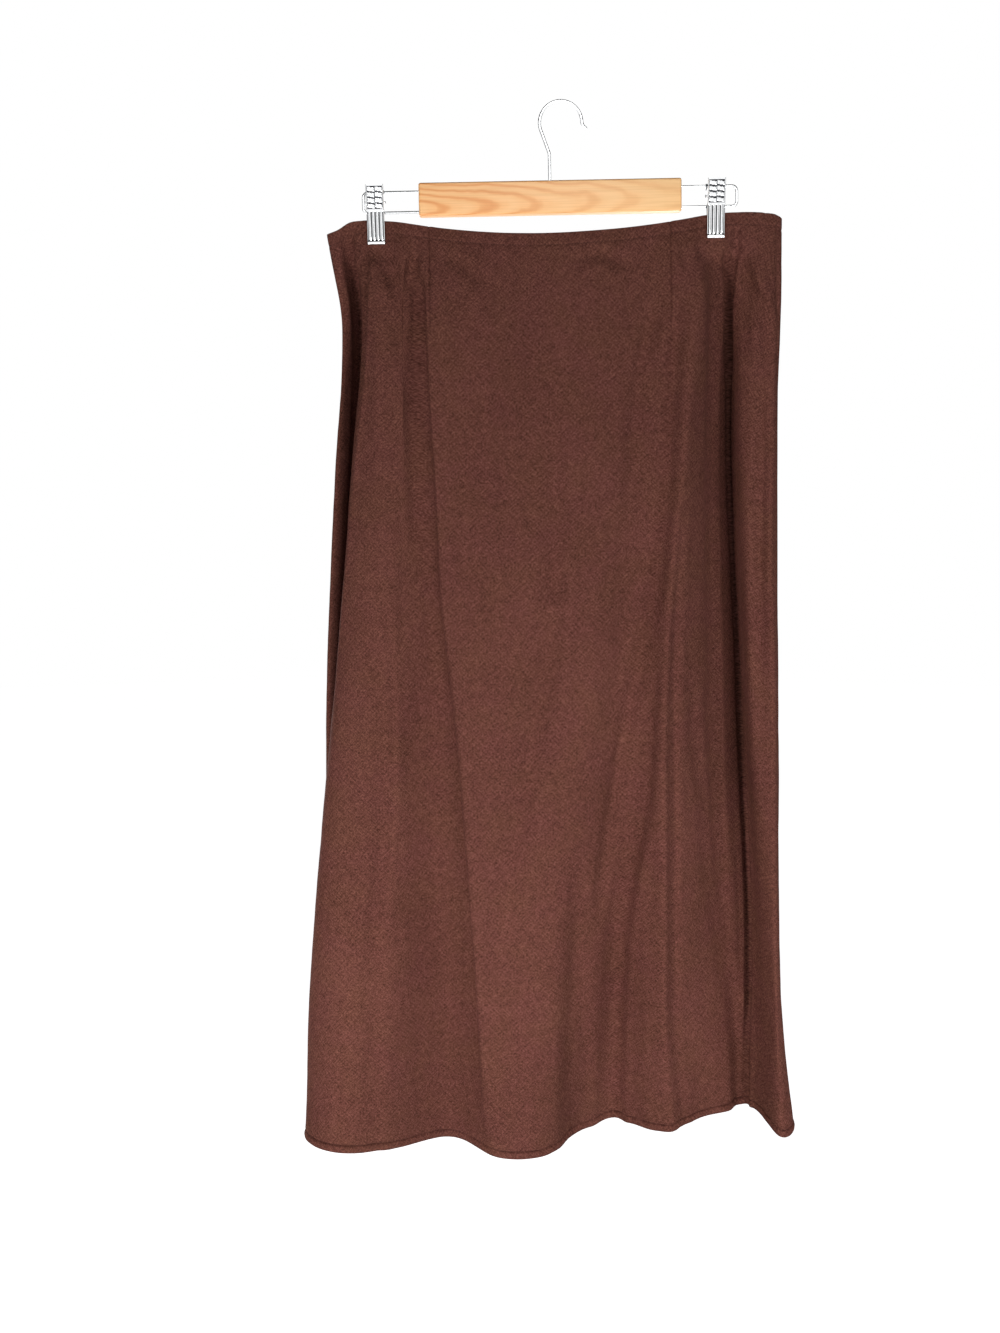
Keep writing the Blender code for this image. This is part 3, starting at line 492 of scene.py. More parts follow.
def cloth_form():
    """The whole skirt as one ring of columns, before its creases."""
    below = row_depths()
    front = column_places(0.0, float(RIGHT_SEAM), FRONT_COLUMNS)
    back = column_places(float(RIGHT_SEAM), float(len(LINES)), BACK_COLUMNS)
    places = np.concatenate([front, back[1:-1]])
    points = form(below / SKIRT_LENGTH, places)
    low = below > WAVES_FROM
    strength = ease((below[low] - WAVES_FROM) / WAVES_FADE)
    points[low] = eased_round(points[low], strength, len(front) - 1)
    steps = np.linalg.norm(np.roll(points, -1, axis=1) - points, axis=-1)
    across = np.cumsum(steps, axis=1) - steps
    return Cloth(below, places, points, ring_normals(points), across, len(front) - 1)


# ---- creases ----------------------------------------------------------------------------------
def smooth_route(points, steps=6):
    """A Catmull-Rom curve through points of any size."""
    points = np.array(points, float)
    padded = np.concatenate([2 * points[:1] - points[1:2], points, 2 * points[-1:] - points[-2:-1]])
    route = []
    for p0, p1, p2, p3 in zip(padded, padded[1:], padded[2:], padded[3:]):
        bend, twist = 2 * p0 - 5 * p1 + 4 * p2 - p3, 3 * p1 - p0 - 3 * p2 + p3
        for u in np.arange(steps) / steps:
            route.append(0.5 * (2 * p1 + (p2 - p0) * u + bend * u**2 + twist * u**3))
    return np.array(route + [points[-1]])


def beside_route(across, below, route):
    """Signed distance to a route, positive to its right, and the value of its nearest point."""
    best, side, value = np.full(across.shape, 1e9), np.ones(across.shape), np.zeros(across.shape)
    for a, b in zip(route, route[1:]):
        way = b[:2] - a[:2]
        square = max(way @ way, 1e-9)
        u = np.clip(((across - a[0]) * way[0] + (below - a[1]) * way[1]) / square, 0, 1)
        dx, dy = across - a[0] - u * way[0], below - a[1] - u * way[1]
        distance = np.hypot(dx, dy)
        nearer = distance < best
        best = np.where(nearer, distance, best)
        side = np.where(nearer, np.sign(dx * way[1] - dy * way[0]), side)
        value = np.where(nearer, a[2] + u * (b[2] - a[2]), value)
    return best * side, value


def crease_depths(cloth):
    """How far the creases push each point in, with distances taken along the cloth."""
    depths = np.zeros(cloth.across.shape)
    for crease in CREASES:
        middle = np.mean([line for line, _, _ in crease.points])
        base = np.array([np.interp(middle, cloth.places, row) for row in cloth.across])
        points = []
        for line, below, depth in crease.points:
            row = np.clip(np.searchsorted(cloth.below, below), 0, len(cloth.below) - 1)
            across = np.interp(line, cloth.places, cloth.across[row]) - base[row]
            points.append((across, below, depth))
        route = smooth_route(points)
        widest = CREASE_LIMIT * max(crease.reach_left, crease.reach_right)
        low, high = route.min(0) - widest, route.max(0) + widest
        rows = np.flatnonzero((cloth.below > low[1]) & (cloth.below < high[1]))
        across = cloth.across[rows] - base[rows, None]
        near = (across > low[0]) & (across < high[0])
        below = np.broadcast_to(cloth.below[rows, None], across.shape)
        distance, depth = beside_route(across[near], below[near], route)
        share = distance / np.where(distance < 0, crease.reach_left, crease.reach_right)
        pushed = np.zeros(across.shape)
        shoulder = bell((abs(share) - SHOULDER_AT) / SHOULDER_WIDTH)
        pushed[near] = depth * (bell(share) - SHOULDER_HEIGHT * shoulder)
        depths[rows] += pushed * CREASE_SCALE
    return depths


def groove_depths(cloth):
    """The narrow grooves of the darts, the side seams and the stitching, and the cloth's puffs."""
    depths = np.zeros(cloth.across.shape)
    for dart in DARTS:
        column = int(np.argmin(abs(cloth.places - dart.line)))
        distance = cloth.across - cloth.across[:, column : column + 1]
        fade = ease((dart.point - cloth.below) / DART_FADE)[:, None]
        depths += DART_DEPTH * fade * bell(distance / DART_HALF_WIDTH)
        depths -= DART_PUFF[0] * fade * bell((distance - DART_PUFF[1]) / DART_PUFF[2])
    size = cloth.across[:, -1:] + (cloth.across[:, -1:] - cloth.across[:, -2:-1])
    from_left = np.minimum(cloth.across, size - cloth.across)
    from_right = abs(cloth.across - cloth.across[:, cloth.seam : cloth.seam + 1])
    for away in (from_left, from_right):
        depths += SEAM_ROLL * bell(away / SEAM_ROLL_WIDTH)
    below = cloth.below[:, None]
    pull = THREAD_PULL + PULL_CHANGE * noise_at(cloth.points, PULL_SIZE, PULL_SEED)
    for line, (deep, wide) in ((WAIST_TURN, WAIST_GROOVE), (HEM_LINE, HEM_GROOVE)):
        depths += pull * deep * bell((below - line) / wide)
    depths -= HEM_PUFF[0] * bell((below - HEM_LINE - HEM_PUFF[1]) / HEM_PUFF[2])
    return depths


def room_inside(cloth):
    """How far each point may go in, so that the front and the back never meet."""
    room = np.empty(cloth.across.shape)
    turned = (cloth.below < WAIST_TURN + TURN_MARGIN) | (cloth.below > HEM_LINE - TURN_MARGIN)
    for row, points in enumerate(cloth.points):
        front, back = points[: cloth.seam + 1], points[cloth.seam :]
        apart = np.linalg.norm(front[:, None] - back[None], axis=-1)
        least = 2 * PINCH if turned[row] else 2 * CLOTH + LEAST_APART
        room[row, cloth.seam :] = FRONT_BACK_ROOM[1] * (apart.min(0) - least)
        room[row, : cloth.seam + 1] = FRONT_BACK_ROOM[0] * (apart.min(1) - least)
    return np.maximum(room, LEAST_ROOM)


def edge_depths(cloth):
    """How far the cloth rounds in at the waist edge and the hem."""
    away = np.minimum(cloth.below, SKIRT_LENGTH - cloth.below)
    inside = np.clip(EDGE_RADIUS - away, 0, EDGE_RADIUS)
    return (EDGE_RADIUS - np.sqrt(EDGE_RADIUS**2 - inside**2))[:, None]


def crumple(cloth):
    """The slight unevenness of hanging linen, as heights."""
    heights = np.zeros(cloth.across.shape)
    for seed, (height, size, longer) in enumerate(CRUMPLES, 1):
        heights += height * noise_at(cloth.points, size, seed, (1, 1, longer))
    height, size, reach = HEM_RIPPLE
    ripple = bell((cloth.below[:, None] - HEM_LINE) / reach)
    return heights + height * ripple * noise_at(cloth.points, size, RIPPLE_SEED)


# ---- cloth pieces -----------------------------------------------------------------------------
def cut_places(cloth):
    """Where each point lies on its flat panel, in metres, from the middle of the panel's waist."""
    total = cloth.across[:, -1] + np.linalg.norm(cloth.points[:, 0] - cloth.points[:, -1], axis=-1)
    seam = cloth.across[:, cloth.seam]
    flat = np.empty((*cloth.across.shape, 2))
    for columns, start, end in (
        (slice(0, cloth.seam + 1), cloth.across[:, 0], seam),
        (slice(cloth.seam + 1, None), seam, total),
    ):
        width = end - start
        flare = (width[-1] - width[0]) / SKIRT_LENGTH
        radius = (width[0] / flare + cloth.below)[:, None]
        angle = (cloth.across[:, columns] - ((start + end) / 2)[:, None]) / radius
        flat[:, columns, 0] = radius * np.sin(angle)
        flat[:, columns, 1] = width[0] / flare - radius * np.cos(angle)
    return flat * MM


def shell(name, outer, inner, places, material, slot):
    """A closed wall between two grids of points, with its places on the flat cut as its UV map."""
    rows, columns = outer.shape[:2]
    index = np.arange(rows * columns).reshape(rows, columns)
    face = np.stack([index[:-1, :-1], index[1:, :-1], index[1:, 1:], index[:-1, 1:]], -1)
    face = face.reshape(-1, 4)
    layer = rows * columns
    faces = [face, face[:, ::-1] + layer]
    for edge in (index[0, ::-1], index[:, 0], index[-1, :], index[::-1, -1]):
        start, end = edge[:-1], edge[1:]
        faces.append(np.stack([end, start, start + layer, end + layer], -1))
    points = np.concatenate([outer.reshape(-1, 3), inner.reshape(-1, 3)])
    mesh = mesh_of(name, points, np.concatenate(faces).tolist())
    mesh.validate()
    if places is not None:
        flat = np.concatenate([places.reshape(-1, 2)] * 2)
        corners = np.empty(len(mesh.loops), np.int32)
        mesh.loops.foreach_get("vertex_index", corners)
        mesh.uv_layers.new(name="cut").uv.foreach_set("vector", flat[corners].ravel())
    shade_smooth(mesh, 60)
    return link(name, mesh, material)


def cloth_piece(name, cloth, heights, rows, columns, inset, thickness, material, slot="cloth",
                seam_gap=0.0, rims=None):
    """A wall of cloth that follows part of the skirt, inset below its outer face."""
    count = cloth.points.shape[1]
    wrapped = np.array(columns) % count
    pick = np.ix_(rows, wrapped)
    points, normals = cloth.points[pick].copy(), cloth.normals[pick]
    if seam_gap:
        for edge, toward in ((0, 1), (-1, -1)):
            beside, past = (
                unit(cloth.points[rows][:, (wrapped[edge] + step) % count] - points[:, edge])
                for step in (toward, -toward)
            )
            half = np.arccos(np.clip((beside * past).sum(-1), -1, 1)) / 2
            points[:, edge] += beside * (seam_gap / 2 / np.sin(half))[:, None]
    out = heights[pick][..., None]
    rim = 0.0 if rims is None else rims[rows, :, None]
    outer = points + normals * (out - inset - rim)
    inner = points + normals * (out - inset - thickness + rim)
    return shell(name, outer, inner, cut_places(cloth)[pick], material, slot)


def short_bars(name, centres, ways, normals, size, dip, material):
    """Many short round bars in one piece, such as stitches; size is (length, thickness) of each."""
    length, thickness = size
    sides = 6
    angles = np.arange(sides)[:, None] * math.tau / sides
    across = unit(np.cross(ways, normals))
    rims = normals[:, None] * np.cos(angles) + across[:, None] * np.sin(angles)
    rings = []
    outline = ((-0.5, -dip, 0.5), (-0.3, 0.0, 1.0), (0.3, 0.0, 1.0), (0.5, -dip, 0.5))
    for place, rise, width in outline:
        middle = centres + ways * place * length + normals * rise
        rings.append(middle[:, None] + rims * thickness / 2 * width)
    points = np.stack(rings, 1).reshape(-1, 3)
    faces = []
    for first in range(0, len(points), len(rings) * sides):
        faces += tube_faces(first, len(rings), sides)
    mesh = mesh_of(name, points, faces)
    mesh.shade_smooth()
    return link(name, mesh, material)


def read_along(values, known, at):
    """Reads rows of x, y, z that are given at known places, at other places."""
    return np.stack([np.interp(at, known, values[:, k]) for k in range(3)], -1)


def stitch_line(name, cloth, face, row, columns, material):
    """A line of machine stitches along a row of the cloth's face, a little uneven."""
    wrapped = np.array(columns) % cloth.points.shape[1]
    line, out = face[row, wrapped], cloth.normals[row, wrapped]
    length = np.concatenate([[0], np.cumsum(np.linalg.norm(np.diff(line, axis=0), axis=1))])
    margin, near = 3.0, 0.8
    places = np.arange(margin, length[-1] - margin, STITCH_PITCH)
    ahead, behind = (read_along(line, length, places + step) for step in (near, -near))
    uneven = np.sin(places * 12.9898)[:, None]  # has no pattern that shows
    lean = STITCH_LEAN * uneven * np.array([0, 0, 1.0])
    return short_bars(
        name, read_along(line, length, places), unit(unit(ahead - behind) + lean),
        unit(read_along(out, length, places)), STITCH, STITCH_DIP, material,
    )


def make_zip(cloth, heights, tape_material, metal):
    """The concealed zip inside the right side seam: tape, closed teeth and slider."""
    near = (cloth.places >= RIGHT_SEAM - 1) & (cloth.places <= RIGHT_SEAM + 2 / 3)
    rows = np.flatnonzero((cloth.below >= ZIP_TOP) & (cloth.below <= ZIP_BOTTOM))
    inset = CLOTH + GAP
    tape = cloth_piece(
        "zip_tape", cloth, heights, rows, np.flatnonzero(near), inset, ZIP_TAPE, tape_material,
        "zip_tape",
    )
    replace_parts(tape, "side_zip_tape")
    out = cloth.normals[:, cloth.seam]
    seam = cloth.points[:, cloth.seam] + out * heights[:, cloth.seam, None]
    heads = np.arange(TEETH_TOP, TEETH_BOTTOM, ZIP_TOOTH_PITCH)  # the teeth's places
    normals = unit(read_along(out, cloth.below, heads))
    centres = read_along(seam, cloth.below, heads)
    centres = centres - normals * (inset + ZIP_TAPE + ZIP_TOOTH[1] / 2 - TOOTH_SUNK)
    sideways = unit(np.cross(normals, np.array([[0, 0, 1.0]])))
    teeth = short_bars(
        "zip_teeth", centres, sideways, -normals, ZIP_TOOTH, TOOTH_DIP, tape_material
    )
    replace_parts(teeth, "side_zip_tape")
    level = Vector((*out[rows[0], :2], 0)).normalized()
    top = Vector(seam[rows[0]])
    top -= level * (inset + ZIP_TAPE + ZIP_CLEARANCE + SLIDER_THICKNESS / 2)
    top.z -= SLIDER_DROP
    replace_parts(make_slider(top, level, metal), "side_zip_slider")


def make_slider(top, level, metal):
    """The zip's slider and its small pull, facing the way that level points."""
    sideways = Vector((-level.y, level.x, 0))
    shape = bmesh.new()
    corners = []
    for down, width in SLIDER_OUTLINE:
        centre = top - Vector((0, 0, down * SLIDER_HEIGHT))
        for k in range(SLIDER_SIDES):
            angle = math.tau * k / SLIDER_SIDES
            a, b = (math.copysign(abs(c) ** 0.5, c) for c in (math.cos(angle), math.sin(angle)))
            place = sideways * a * width * SLIDER_WIDTH / 2 + level * b * SLIDER_THICKNESS / 2
            corners.append(shape.verts.new((centre + place) * MM))
    for face in tube_faces(0, len(SLIDER_OUTLINE), SLIDER_SIDES):
        shape.faces.new([corners[k] for k in face])
    pull = bmesh.ops.create_cone(
        shape, cap_ends=True, segments=24, radius1=PULL_RADIUS * MM, radius2=PULL_RADIUS * MM,
        depth=PULL_THICKNESS * MM,
    )
    turn = Matrix((sideways, Vector((0, 0, 1)), -level)).transposed().to_4x4()
    hung = Matrix.Translation((top - level * PULL_BEHIND - Vector((0, 0, PULL_DROP))) * MM)
    hung = hung @ turn @ Matrix.Diagonal((1, PULL_LONGER, 1, 1))
    bmesh.ops.transform(shape, matrix=hung, verts=pull["verts"])
    bmesh.ops.recalc_face_normals(shape, faces=shape.faces[:])
    mesh = mesh_from("zip_slider", shape)
    shade_smooth(mesh)
    return link("zip_slider", mesh, metal)


def make_skirt(cloth_material, thread, tape_material, metal):
    """The panels with their turned edges and stitching, and the concealed zip."""
    cloth = cloth_form()
    pressed = CLIP_PRESSES * clip_hold(
        cloth.points[..., 0], cloth.below[:, None], PRESSED_WIDTH, PRESSED_FADE
    )
    heights = (crumple(cloth) - crease_depths(cloth)) * (1 - pressed)
    room = room_inside(cloth)
    heights = np.where(heights < 0, -room * np.tanh(-heights / room), heights)
    heights = heights - groove_depths(cloth)
    rims = edge_depths(cloth)
    rows = np.arange(len(cloth.below))
    face = cloth.points + cloth.normals * (heights - rims)[..., None]
    for side, columns, flat, area in (
        ("front", range(cloth.seam + 1), (0.728, 0.908), 0.55),
        ("back", range(cloth.seam, cloth.points.shape[1] + 1), (0.746, 0.909), 0.55),
    ):
        panel = cloth_piece(
            side + "_cloth", cloth, heights, rows, columns, 0.0, CLOTH, cloth_material,
            seam_gap=SEAM_GAP, rims=rims,
        )
        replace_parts(panel, side + "_panel")
        for edge, line, kept in (
            ("waist", WAIST_TURN, rows[cloth.below <= WAIST_TURN]),
            ("hem", HEM_LINE, rows[cloth.below >= HEM_LINE]),
        ):
            turn = cloth_piece(
                f"{edge}_turn_{side}_cloth", cloth, heights, kept, columns[TURN_INSET:-TURN_INSET],
                CLOTH + GAP, TURNED_CLOTH, cloth_material,
            )
            row = int(np.argmin(abs(cloth.below - line)))
            # The stitches' dark thread paints the shade in the stitching groove.
            stitches = stitch_line(f"{edge}_stitches_{side}", cloth, face, row, columns, thread)
            for piece in (turn, stitches):
                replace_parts(piece, f"{edge}_turn_{side}")
    make_zip(cloth, heights, tape_material, metal)


# ---- materials --------------------------------------------------------------------------------
def node(tree, kind, inputs=None, **settings):
    """Adds a node, with its settings, and its inputs set or linked."""
    made = tree.nodes.new(kind)
    for key, value in settings.items():
        setattr(made, key, value)
    for key, value in (inputs or {}).items():
        if isinstance(value, bpy.types.NodeSocket):
            tree.links.new(value, made.inputs[key])
        else:
            made.inputs[key].default_value = value
    return made


SOCKETS = {
    "base": "Base Color", "roughness": "Roughness", "metallic": "Metallic",
    "specular": "Specular IOR Level", "glow": "Emission Color",
    "glow_strength": "Emission Strength",
}


def new_material(name, **inputs):
    """A Principled material, with constants set on the shader's own sockets."""
    material = bpy.data.materials.new(name)
    material.use_nodes = True
    shader = material.node_tree.nodes["Principled BSDF"]
    for key, value in inputs.items():
        shader.inputs[SOCKETS[key]].default_value = value
    return material, material.node_tree, shader


def maths(tree, operation, *values, kind="ShaderNodeMath"):
    """The result of an operation on numbers or sockets."""
    return node(tree, kind, dict(enumerate(values)), operation=operation).outputs[0]


def noise_texture(tree, place, scale, detail, output="Fac"):
    """Reads a noise texture at a place."""
    inputs = {"Vector": place, "Scale": scale, "Detail": detail}
    return node(tree, "ShaderNodeTexNoise", inputs).outputs[output]


def colour_ramp(tree, factor, *stops):
    """The colour for a factor, blended between stops of (position, colour)."""
    ramp = node(tree, "ShaderNodeValToRGB", {"Fac": factor})
    elements = ramp.color_ramp.elements
    for element, (position, _) in zip(elements, (stops[0], stops[-1])):
        element.position = position
    for position, _ in stops[1:-1]:
        elements.new(position)
    for element, (_, colour) in zip(elements, stops):
        element.color = (*colour, 1)
    return ramp.outputs["Color"]


def blend(tree, factor, first, second, blend_type="MIX"):
    """Mixes two colours."""
    inputs = {"Factor": factor, 6: first, 7: second}
    mixed = node(tree, "ShaderNodeMix", inputs, data_type="RGBA", blend_type=blend_type)
    return mixed.outputs[2]


def add_bump(tree, shader, height, strength, distance):
    """Gives a shader fine relief."""
    inputs = {"Height": height, "Strength": strength, "Distance": distance}
    bump = node(tree, "ShaderNodeBump", inputs)
    tree.links.new(bump.outputs["Normal"], shader.inputs["Normal"])


def linen(name, dark, plain, light):
    """Plain-woven linen cut on the cross: uneven threads at 45 degrees, with a few slubs."""
    material, tree, shader = new_material(name, roughness=0.92, specular=0.05)
    cut = node(tree, "ShaderNodeUVMap", uv_map="cut").outputs["UV"]
    turned = node(
        tree, "ShaderNodeMapping",
        {"Vector": cut, "Rotation": (0, 0, math.radians(45)), "Scale": (1000, 1000, 1000)},
    ).outputs["Vector"]

    def threads(across, lengthways, detail):
        size = (across, lengthways, 1)
        stretched = maths(tree, "MULTIPLY", turned, size, kind="ShaderNodeVectorMath")
        return noise_texture(tree, stretched, 1.0, detail)

    def total(*parts):
        scaled = [maths(tree, "MULTIPLY", value, share) for value, share in parts]
        result = scaled[0]
        for value in scaled[1:]:
            result = maths(tree, "ADD", result, value)
        return result

    warp, weft = threads(1.05, 0.10, 2.0), threads(0.10, 1.05, 2.0)
    slub_warp, slub_weft = threads(0.62, 0.045, 1.0), threads(0.045, 0.62, 1.0)
    cloudy, fleck = noise_texture(tree, cut, 9.0, 3.0), noise_texture(tree, cut, 620.0, 2.0)
    tone = total(
        (warp, 0.24), (weft, 0.24), (slub_warp, 0.09), (slub_weft, 0.09), (cloudy, 0.08),
        (fleck, 0.42),
    )
    colour = colour_ramp(tree, tone, (0.46, dark), (0.57, plain), (0.69, light))
    patches = noise_texture(tree, cut, 26.0, 3.0)
    tint = colour_ramp(tree, patches, (0.35, (1.0, 0.955, 1.0)), (0.65, (0.98, 1.0, 0.93)))
    tree.links.new(blend(tree, 1.0, colour, tint, "MULTIPLY"), shader.inputs["Base Color"])
    height = total((warp, 0.5), (weft, 0.5), (slub_warp, 0.3), (slub_weft, 0.3), (fleck, 0.3))
    add_bump(tree, shader, height, 0.6, 0.0009)
    return material


def dye_and_painted_shade(name, colour, roughness):
    """Brown thread or tape, faintly uneven; the thread's much darker brown is painted shade."""
    material, tree, shader = new_material(name, roughness=roughness, specular=0.15)
    place = node(tree, "ShaderNodeTexCoord").outputs["Object"]
    uneven = noise_texture(tree, place, 900.0, 2.0)
    darker, lighter = ([share * part for part in colour] for share in (0.75, 1.25))
    tones = colour_ramp(tree, uneven, (0.0, darker), (1.0, lighter))
    tree.links.new(tones, shader.inputs["Base Color"])
    return material


def wood():
    """Plain-sawn pale wood, with long pointed loops of grain on its faces."""
    material, tree, shader = new_material("bar_wood", roughness=0.42, specular=0.4)
    place = node(tree, "ShaderNodeTexCoord").outputs["Object"]
    bent = noise_texture(tree, place, 14.0, 2.0, "Color")
    wander = (0.010, 0.007, 0.007)
    shifted = maths(tree, "MULTIPLY_ADD", bent, wander, place, kind="ShaderNodeVectorMath")
    # The rings' axis lies behind the bar's front face, further off at the viewer's right.
    axis_turn = (0, math.radians(1), math.radians(5.6))
    rings_at = node(
        tree, "ShaderNodeMapping",
        {"Vector": shifted, "Location": (0, 0.022, 0.003), "Rotation": axis_turn},
    ).outputs["Vector"]
    rings = node(
        tree, "ShaderNodeTexWave",
        {"Vector": rings_at, "Scale": 74.0, "Distortion": 1.2, "Detail": 2.0, "Detail Scale": 1.0},
        wave_type="RINGS",
    ).outputs["Fac"]
    streaks_at = maths(tree, "MULTIPLY", place, (25, 900, 900), kind="ShaderNodeVectorMath")
    streaks = noise_texture(tree, streaks_at, 1.0, 3.0)
    grain = colour_ramp(
        tree, rings, (0.0, (0.98, 0.56, 0.25)), (0.6, (0.96, 0.51, 0.21)), (1.0, (0.84, 0.36, 0.12))
    )
    along_bar = node(tree, "ShaderNodeSeparateXYZ", {"Vector": place}).outputs["X"]
    paler_at_right = node(
        tree, "ShaderNodeMapRange",
        {"Value": along_bar, "From Min": -0.06, "From Max": 0.11, "To Max": 0.62},
    ).outputs["Result"]
    toned = blend(tree, paler_at_right, grain, (0.99, 0.64, 0.30, 1))
    fine = colour_ramp(tree, streaks, (0.35, (0.86, 0.80, 0.72)), (0.6, (1.0, 1.0, 1.0)))
    tree.links.new(blend(tree, 0.55, toned, fine, "MULTIPLY"), shader.inputs["Base Color"])
    add_bump(tree, shader, streaks, 0.15, 0.0004)
    return material


def polished(name, colour, roughness):
    """Bright metal with faint wear in its gloss."""
    material, tree, shader = new_material(
        name, base=(*colour, 1), roughness=roughness, metallic=1.0
    )
    place = node(tree, "ShaderNodeTexCoord").outputs["Object"]
    worn = noise_texture(tree, place, 260.0, 4.0)
    reach = {"To Min": roughness * 0.7, "To Max": roughness * 1.5}
    gloss = node(
        tree, "ShaderNodeMapRange", {"Value": worn, "From Min": 0.3, "From Max": 0.7, **reach}
    ).outputs["Result"]
    tree.links.new(gloss, shader.inputs["Roughness"])
    add_bump(tree, shader, worn, 0.08, 0.0002)
    return material


# ---- hanger -----------------------------------------------------------------------------------
def hang(piece):
    """Turns a piece of the hanger out of level, as it hangs from the hook."""
    piece.matrix_world = Matrix.Rotation(-TILT, 4, "Y") @ piece.matrix_world


def rounded_route(corners, radius, steps=10):
    """A route through corner points, with each inner corner rounded to a radius."""
    route = [Vector(corners[0])]
    for before, corner, after in zip(corners, corners[1:], corners[2:]):
        before, corner, after = Vector(before), Vector(corner), Vector(after)
        back, on = (before - corner).normalized(), (after - corner).normalized()
        half = back.angle(on) / 2
        centre = corner + (back + on).normalized() * radius / math.sin(half)
        start = corner + back * radius / math.tan(half) - centre
        end = corner + on * radius / math.tan(half) - centre
        for k in range(steps + 1):
            route.append(centre + start.slerp(end, k / steps) * radius)
    route.append(Vector(corners[-1]))
    return route


def make_wire(name, node_name, route, diameter, material, round_end=False):
    """A round wire along a route; a rounded end closes in over half a diameter."""
    points = [(Vector(p), 1.0) for p in route]
    if round_end:
        end, way = points.pop()[0], (route[-1] - route[-2]).normalized()
        for angle in (0, 25, 45, 62, 76, 86):
            turn = math.radians(angle)
            back = diameter / 2 * (1 - math.sin(turn))
            points.append((end - way * back, max(math.cos(turn), 0.08)))
    wire = bpy.data.curves.new(name, "CURVE")
    wire.dimensions = "3D"
    wire.resolution_u = 1
    wire.bevel_depth = diameter / 2 * MM
    wire.bevel_resolution = 7
    wire.use_fill_caps = True
    spline = wire.splines.new("POLY")
    spline.points.add(len(points) - 1)
    for knot, (point, radius) in zip(spline.points, points):
        knot.co = (*(point * MM), 1.0)
        knot.radius = radius
    spline.use_smooth = True
    piece = link(name, wire, material)
    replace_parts(piece, node_name)
    hang(piece)


def hook_route():
    """Shank, neck and bow of the hook, ending in a tip that turns outwards."""
    shank = Vector((BAR_CENTRE_X, 0, BAR_CENTRE_Z + BAR_HEIGHT / 2 - HOOK_IN_BAR))
    neck = Vector((BAR_CENTRE_X, 0, HOOK_NECK_Z))
    centre = Vector((0, 0, HOOK_WIRE / 2 - HOOK_RADIUS))
    to_neck = neck - centre
    touch = math.atan2(to_neck.z, to_neck.x) - math.acos(HOOK_RADIUS / to_neck.length)

    def on_circle(middle, radius, angle):
        return middle + Vector((math.cos(angle), 0, math.sin(angle))) * radius

    route = rounded_route([shank, neck, on_circle(centre, HOOK_RADIUS, touch)], NECK_BEND)
    tip_start = math.radians(2)
    sweep = touch % math.tau - tip_start
    for k in range(1, BOW_STEPS + 1):
        route.append(on_circle(centre, HOOK_RADIUS, touch - sweep * k / BOW_STEPS))
    tip_centre = on_circle(centre, HOOK_RADIUS + TIP_RADIUS, tip_start)
    for k in range(1, TIP_STEPS + 1):
        angle = tip_start + math.pi + TIP_TURN * k / TIP_STEPS
        route.append(on_circle(tip_centre, TIP_RADIUS, angle))
    route.append(route[-1] + (route[-1] - route[-2]).normalized() * 2)
    return route


def loop_route(side):
    """A U of wire from the end of the bar, with both legs inside the wood."""
    sign = -1 if side == "left" else 1
    bar_end = BAR_CENTRE_X + sign * BAR_LENGTH / 2
    inside, outside = bar_end - sign * LOOP_IN_BAR, bar_end + sign * LOOP_REACH
    top, bottom = LOOP_TOP_Z, LOOP_BOTTOM_Z
    corners = ((inside, 0, top), (outside, 0, top), (outside, 0, bottom), (inside, 0, bottom))
    return rounded_route(corners, LOOP_CORNER)


def make_bar(material):
    """The wooden bar with eased edges, and the holes that its wires sit in."""
    shape = bmesh.new()
    bmesh.ops.create_cube(shape, size=1)
    size = Vector((BAR_LENGTH, BAR_DEPTH, BAR_HEIGHT)) * MM
    bmesh.ops.scale(shape, vec=size, verts=shape.verts)
    bmesh.ops.bevel(
        shape, geom=shape.edges[:], offset=BAR_EDGE * MM, segments=5, profile=0.5, affect="EDGES"
    )
    bar = link("wooden_bar", mesh_from("bar", shape), material)
    bar.location = Vector((BAR_CENTRE_X, 0, BAR_CENTRE_Z)) * MM
    for sign in (-1, 1):
        for z in (LOOP_TOP_Z, LOOP_BOTTOM_Z):
            drill(bar, (sign * BAR_LENGTH / 2, 0, z - BAR_CENTRE_Z), LOOP_WIRE, LOOP_IN_BAR + GAP)
    drill(bar, (0, 0, BAR_HEIGHT / 2), HOOK_WIRE, HOOK_IN_BAR + GAP, upright=True)
    shade_smooth(bar.data)
    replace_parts(bar, "hanger_bar")
    hang(bar)


def drill(piece, centre, wire, depth, segments=32, upright=False):
    """Drills a hole with room for a wire, as deep to each side of a point in the piece."""
    shape = bmesh.new()
    radius = (wire / 2 + GAP) * MM
    bmesh.ops.create_cone(
        shape, cap_ends=True, segments=segments, radius1=radius, radius2=radius,
        depth=2 * depth * MM,
    )
    turn = Matrix() if upright else Matrix.Rotation(math.pi / 2, 4, "Y")
    place = Matrix.Translation(Vector(centre) * MM) @ turn
    bmesh.ops.transform(shape, matrix=place, verts=shape.verts)
    cutter = bpy.data.objects.new("cutter", mesh_from("cutter", shape))
    bpy.context.scene.collection.objects.link(cutter)
    cutter.matrix_world = piece.matrix_world
    cut = piece.modifiers.new("cut", "BOOLEAN")
    cut.operation, cut.object, cut.solver = "DIFFERENCE", cutter, "EXACT"
    bpy.context.view_layer.update()
    depsgraph = bpy.context.evaluated_depsgraph_get()
    result = bpy.data.meshes.new_from_object(piece.evaluated_get(depsgraph))
    piece.modifiers.clear()
    piece.data = result
    bpy.data.objects.remove(cutter)


